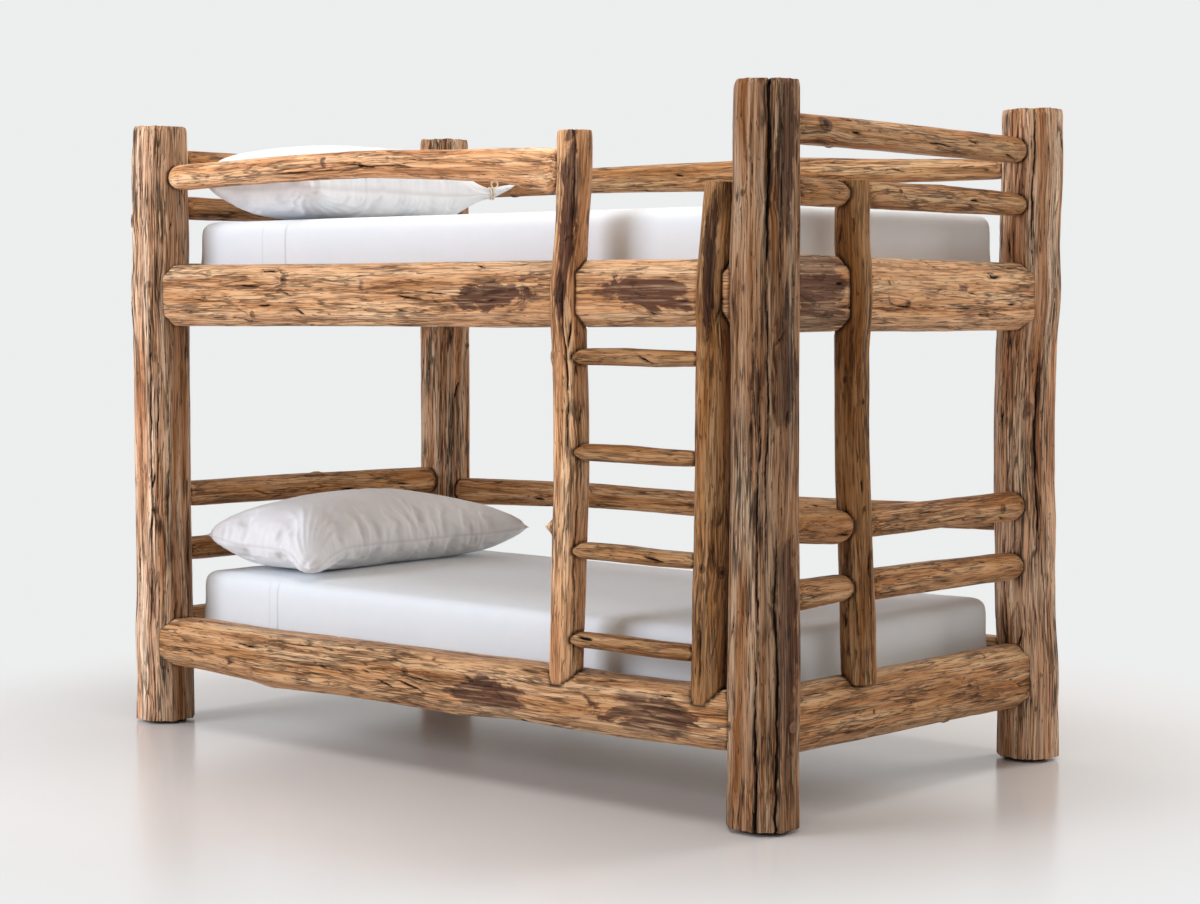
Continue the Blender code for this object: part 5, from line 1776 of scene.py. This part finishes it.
    def flat_case(self, wide: int, long: int) -> tuple[Array, list[tuple[int, ...]], Array]:
        """Two layers of cloth joined at the rim, a little apart in the middle.

        Args:
            wide: cells across the pillow.
            long: cells along it.

        Returns:
            The points, the faces and the numbers of the rim's points.
        """
        number = {}
        points = []
        seam = []
        for side in (1, -1):
            for i in range(wide + 1):
                for j in range(long + 1):
                    rim = i in (0, wide) or j in (0, long)
                    if rim and side < 0:
                        number[(i, j, side)] = number[(i, j, 1)]
                        continue
                    u, v = 2 * i / wide - 1, 2 * j / long - 1
                    swell = ((1 - u ** 4) * (1 - v ** 6)) ** 0.55
                    number[(i, j, side)] = len(points)
                    if rim:
                        seam.append(len(points))
                    height = side * self.swelling * swell
                    points.append((u * self.bag[0] / 2, v * self.bag[1] / 2, height))
        faces = []
        for side in (1, -1):
            for i in range(wide):
                for j in range(long):
                    loop = ((i, j), (i + 1, j), (i + 1, j + 1), (i, j + 1))
                    corners = tuple(number[(a, b, side)] for a, b in loop)
                    faces.append(corners if side > 0 else corners[::-1])
        return np.array(points), faces, np.array(seam)

    def fit(self, points: Array) -> Array:
        """Fit the blown-up case to the CAD pillow's box and set its fullness, taper and corners.

        Args:
            points: the case's points about its own middle.

        Returns:
            The points in place.
        """
        low, high = (np.array(corner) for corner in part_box(f"{self.level}_pillow"))
        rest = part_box(f"{self.level}_mattress")[1][2]
        middle = (low + high) / 2
        size = points.max(axis=0) - points.min(axis=0)
        shaped = points - (points.max(axis=0) + points.min(axis=0)) / 2
        shaped[:, :2] *= (high - low)[:2] / size[:2]
        up = (high[2] - rest - self.seam_height) / shaped[:, 2].max()
        down = (self.seam_height + self.sit) / -shaped[:, 2].min()
        shaped[:, 2] *= np.where(shaped[:, 2] > 0, up, down)
        top = shaped[:, 2].max()
        upper = np.clip(shaped[:, 2] / top, 0, 1)
        share = 2 * shaped[:, :2] / (high - low)[:2]
        power = self.fullness + (1 - self.fullness) * smooth_step(share[:, 1], -0.5, 0.9)
        shaped[:, 2] = np.where(upper > 0, top * upper ** power, shaped[:, 2])
        lower = self.taper * smooth_step(share[:, 1], -0.1, 0.9)
        shaped[:, 2] *= 1 - np.where(shaped[:, 2] > 0, lower, 0)
        for lift, (side_x, side_y) in zip(self.tips, CORNERS):
            near = smooth_step(side_x * share[:, 0], 0.35, 1.0)
            shaped[:, 2] += lift * near * smooth_step(side_y * share[:, 1], 0.6, 1.0)
        if self.tied:
            self.gather(shaped, (high - low)[:2])
        shaped[:, :2] += middle[:2]
        shaped[:, 2] += rest + self.seam_height
        return shaped

    def gather(self, shaped: Array, size: Array) -> None:
        """Draw the foot-back corner of the case together at a neck, with a flared tail beyond it.

        Args:
            shaped: the case's points about its middle, which are moved.
            size: length and width of the pillow.
        """
        drawn_in = 0.17  # length over which the cloth narrows to the neck
        flare, tail_share = 0.62, 0.62  # how far the tail widens and how much of its length it keeps
        flatten, neck_rise, tail_slope = 0.82, 0.012, 0.40
        corner = float(np.hypot(*size)) / 2
        way = size / (2 * corner)
        side = np.array((-way[1], way[0]))
        along, across = shaped[:, :2] @ way, shaped[:, :2] @ side
        neck = corner - self.tail
        before = smooth_step(along, neck - drawn_in, neck)
        after = np.clip((along - neck) / self.tail, 0, 1)
        across = across * (1 - (1 - self.neck) * before + flare * after)
        along = np.where(along > neck, neck + tail_share * (along - neck), along)
        shaped[:, :2] = along[:, None] * way + across[:, None] * side
        shaped[:, 2] *= 1 - flatten * before
        shaped[:, 2] += neck_rise * before + tail_slope * np.maximum(along - neck, 0)

    def crumple(self, piece: Object) -> None:
        """Sink the seam, and raise the folds that run from the corners and the puckers along the seam.

        The bare numbers inside the sines only break up their rhythm.

        Args:
            piece: the pillow in its case.
        """
        u, v, seam = (read_attribute(piece.data, word) for word in ("flat_u", "flat_v", "seam"))
        half_u, half_v = self.bag[0] / 2, self.bag[1] / 2
        height = -self.seam_depth * smooth_step(seam, 0.4, 1.0)
        for count, (side_u, side_v) in enumerate(CORNERS):
            out_u, out_v = half_u - side_u * u, half_v - side_v * v
            reach = np.hypot(out_u, out_v)
            turn = np.arctan2(out_v, out_u)
            bend = 2.2 * np.sin(21 * reach + count) + 3 * np.sin(5 * turn + self.seed)
            wave = np.sin(self.folds * turn + bend)
            place = smooth_step(reach, *self.fold_start) * (1 - smooth_step(reach, *self.fold_end))
            depth = self.fold_depth if count == 0 else self.lesser_folds * self.fold_depth
            height += depth * (0.5 + 0.5 * wave) ** 2 * place
        for run, inside in ((v, half_u - np.abs(u)), (u, half_v - np.abs(v))):
            turns = 2 * math.pi * run
            course = turns / self.pucker_pitch + 2.4 * np.sin(turns / 0.17 + self.seed)
            strength = np.sin(turns / 0.43 + 2 * self.seed) ** 2 * (1 - seam)
            fade = np.exp(-(inside / self.pucker_reach) ** 2)
            height += self.pucker_depth * np.sin(course) * strength * fade
        move_points(piece, read_points(piece.data) + height[:, None] * read_points(piece.data, "normal"))

    def add_tie(self, piece: Object) -> None:
        """Wind the case's cord round the neck of its tied corner, with a loop that stands on it.

        Args:
            piece: the pillow in its case.
        """
        half_slice, slice_reach = 0.006, 0.16  # what is measured as the neck
        clear, pitch = 0.001, 0.009  # from the cloth to the cord, and from turn to turn
        low, high = (np.array(corner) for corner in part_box(f"{self.level}_pillow"))
        size = (high - low)[:2]
        corner = float(np.hypot(*size)) / 2
        way = np.array((*(size / (2 * corner)), 0.0))
        side = np.array((-way[1], way[0], 0.0))
        up = np.array((0.0, 0.0, 1.0))
        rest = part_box(f"{self.level}_mattress")[1][2]
        points = read_points(piece.data)
        middle = np.array((*((low + high) / 2)[:2], rest)) + (corner - self.tail) * way
        ring = points[np.abs((points - middle) @ way) < half_slice]
        ring = ring[np.linalg.norm(ring - middle, axis=1) < slice_reach]
        centre = (ring.max(axis=0) + ring.min(axis=0)) / 2
        wide = np.abs((ring - centre) @ side).max() + clear
        high_up = np.abs(ring[:, 2] - centre[2]).max() + clear
        turns = np.linspace(0.5 * math.pi, 4.5 * math.pi, 57)
        drift = pitch * (turns - turns.mean()) / (2 * math.pi)
        wound = centre + drift[:, None] * way + wide * np.cos(turns)[:, None] * side
        wound = wound + high_up * np.sin(turns)[:, None] * up
        sweep = np.linspace(-0.5 * math.pi, 1.4 * math.pi, 25)
        loop = wound[-1] + self.loop * (np.cos(sweep)[:, None] * way + (1 + np.sin(sweep))[:, None] * up)
        path = np.concatenate((wound, loop))
        mesh = bpy.data.meshes.new("tie")
        mesh.from_pydata(path.tolist(), [(i, i + 1) for i in range(len(path) - 1)], [])
        tie = link_object("tie", mesh)
        run_tree(tie, cord_tree(), {
            "Radius": self.cord, "Sides": self.cord_sides, "Cloth": TIE_CLOTH.material()})
        self.join(piece, tie)
        REPORT.info("tie: cord of %.3f m", np.linalg.norm(np.diff(path, axis=0), axis=1).sum())

    def join(self, piece: Object, extra: Object) -> None:
        """Make one mesh of a piece and an extra, which keeps its own cloth as the second material.

        Args:
            piece: the piece.
            extra: the object that becomes part of it.
        """
        cloth = extra.data.materials[0]
        for face in extra.data.polygons:
            face.material_index = 1
            face.use_smooth = True
        both = bmesh.new()
        both.from_mesh(piece.data)
        both.from_mesh(extra.data)
        both.to_mesh(piece.data)
        both.free()
        piece.data.materials.append(cloth)
        spare = extra.data
        bpy.data.objects.remove(extra)
        bpy.data.meshes.remove(spare)

    def press(self, piece: Object) -> None:
        """Press the pillow's underside flat on the mattress.

        Args:
            piece: the pillow in its case.
        """
        crest = 0.08  # the topmost part, which is never pressed
        points = read_points(piece.data)
        bed = bpy.data.objects[f"{self.level}_mattress_sheet"]
        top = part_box(f"{self.level}_pillow")[1][2]
        for i, point in enumerate(points):
            if point[2] > top - crest:
                continue
            found, spot = bed.ray_cast(Vector((point[0], point[1], top)), Vector((0, 0, -1)))[:2]
            if found and point[2] < spot.z + self.rest_gap:
                points[i, 2] = spot.z + self.rest_gap
        move_points(piece, points)


@dataclass
class Studio:
    """A pale glossy floor, soft lamps and the camera."""

    camera_place: tuple[float, float, float] = (4.3575, -4.8569, 1.2110)
    camera_yaw: float = 0.7217
    camera_pitch: float = 0.0643
    lens: float = 71.554
    sensor: float = 36.0
    backdrop: str = "#EDEEEE"
    floor_colour: str = "#DFDDDC"
    floor_half: float = 40.0
    floor_fade: Pair = (1.35, 2.35)  # distances over which it turns into the backdrop
    floor_roughness: float = 0.20
    floor_specular: float = 0.30
    key_colour: str = "#EEF3FF"
    lamp_colour: str = "#FFFCFA"
    sky_colour: str = "#FFF3E8"
    sky_strength: float = 0.335

    def build(self) -> None:
        """Make the floor, lamps, world and camera."""
        self.make_camera()
        self.make_floor()
        self.make_lamps()
        self.make_world()
        bpy.context.scene.view_settings.view_transform = "Standard"

    def make_camera(self) -> None:
        """The camera at the photograph's angle."""
        data = bpy.data.cameras.new("camera")
        data.lens = self.lens
        data.sensor_width = self.sensor
        data.sensor_fit = "HORIZONTAL"
        camera = bpy.data.objects.new("camera", data)
        camera.location = self.camera_place
        camera.rotation_euler = (math.pi / 2 - self.camera_pitch, 0.0, self.camera_yaw)
        bpy.context.scene.collection.objects.link(camera)
        bpy.context.scene.camera = camera

    def make_floor(self) -> None:
        """A pale polished floor that fades into the backdrop."""
        half = self.floor_half
        corners = [(-half, -half, 0), (half, -half, 0), (half, half, 0), (-half, half, 0)]
        mesh = bpy.data.meshes.new("floor")
        mesh.from_pydata(corners, [], [(0, 1, 2, 3)])
        floor = link_object("floor", mesh)
        material, tree = empty_material("polished_pale_floor")
        place = add_node(tree, "ShaderNodeTexCoord").outputs["Object"]
        reach = add_node(tree, "ShaderNodeVectorMath", {"operation": "LENGTH"}, {0: place})
        fade = map_range(tree, reach.outputs["Value"], *self.floor_fade, curve="SMOOTHSTEP")
        seen = add_node(tree, "ShaderNodeLightPath").outputs
        eye = math_node(tree, "MAXIMUM", seen["Is Camera Ray"], seen["Is Glossy Ray"])
        polish = add_node(tree, "ShaderNodeBsdfPrincipled", {}, {
            "Base Color": linear(self.floor_colour), "Roughness": self.floor_roughness,
            "Specular IOR Level": self.floor_specular})
        glow = add_node(tree, "ShaderNodeEmission", {}, {"Color": linear(self.backdrop), "Strength": 1.0})
        mix = add_node(tree, "ShaderNodeMixShader", {}, {
            0: math_node(tree, "MULTIPLY", fade, eye), 1: polish.outputs["BSDF"],
            2: glow.outputs["Emission"]})
        add_node(tree, "ShaderNodeOutputMaterial", {}, {"Surface": mix.outputs["Shader"]})
        mesh.materials.append(material)

    def make_lamps(self) -> None:
        """A large soft key from the front left, a weak fill, a rim from behind and an overhead."""
        # Each lamp's name, place, aim, width and power.
        lamps = (
            ("key", (-2.8, -6.2, 2.5), (0.0, 0.0, 0.7), 3.4, 300.0),
            ("fill", (5.5, -0.5, 3.0), (0.0, 0.0, 0.7), 3.0, 16.0),
            ("rim", (2.7, 5.6, 2.4), (0.8, 0.0, 0.9), 2.0, 180.0),
            ("overhead", (0.3, -0.6, 5.2), (0.3, -0.5, 0.0), 4.5, 178.0),
        )
        for name, place, aim, size, power in lamps:
            data = bpy.data.lights.new(name, "AREA")
            data.shape = "SQUARE"
            data.size = size
            data.energy = power
            data.color = linear(self.key_colour if name == "key" else self.lamp_colour)[:3]
            lamp = bpy.data.objects.new(name, data)
            lamp.location = place
            lamp.visible_glossy = False
            lamp.rotation_euler = (Vector(aim) - Vector(place)).to_track_quat("-Z", "Y").to_euler()
            bpy.context.scene.collection.objects.link(lamp)

    def make_world(self) -> None:
        """A pale backdrop for the eye and a soft even light for the bed."""
        world = bpy.data.worlds.new("studio")
        bpy.context.scene.world = world
        world.use_nodes = True
        tree = world.node_tree
        tree.nodes.clear()
        seen = add_node(tree, "ShaderNodeLightPath").outputs
        eye = math_node(tree, "MAXIMUM", seen["Is Camera Ray"], seen["Is Glossy Ray"])
        eye = math_node(tree, "MAXIMUM", eye, seen["Is Transmission Ray"])
        light = add_node(tree, "ShaderNodeBackground", {}, {
            "Color": linear(self.sky_colour), "Strength": self.sky_strength})
        shown = add_node(tree, "ShaderNodeBackground", {}, {
            "Color": linear(self.backdrop), "Strength": 1.0})
        mix = add_node(tree, "ShaderNodeMixShader", {}, {
            0: eye, 1: light.outputs["Background"], 2: shown.outputs["Background"]})
        add_node(tree, "ShaderNodeOutputWorld", {}, {"Surface": mix.outputs["Shader"]})


def main() -> None:
    """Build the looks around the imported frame."""
    logging.basicConfig(level=logging.INFO, format="%(message)s")
    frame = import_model()
    Studio().build()
    Timber(frame["nodes"]).build()
    Fittings(frame["nodes"]).build()
    sheet, case = SHEET.material(), PILLOW_CASE.material()
    upper = Bunk("upper", hem=(-0.740, -0.645), seed=1, fullness=0.46, tips=(0.0, 0.0, 0.020, 0.0),
                 tied=True)
    lower = Bunk("lower", hem=(-0.725, -0.690), seed=2, fullness=0.94, taper=0.22,
                 tips=(-0.045, 0.010, 0.024, 0.014))
    for bunk in (upper, lower):
        bunk.build(sheet, case)


if __name__ == "__main__":
    main()
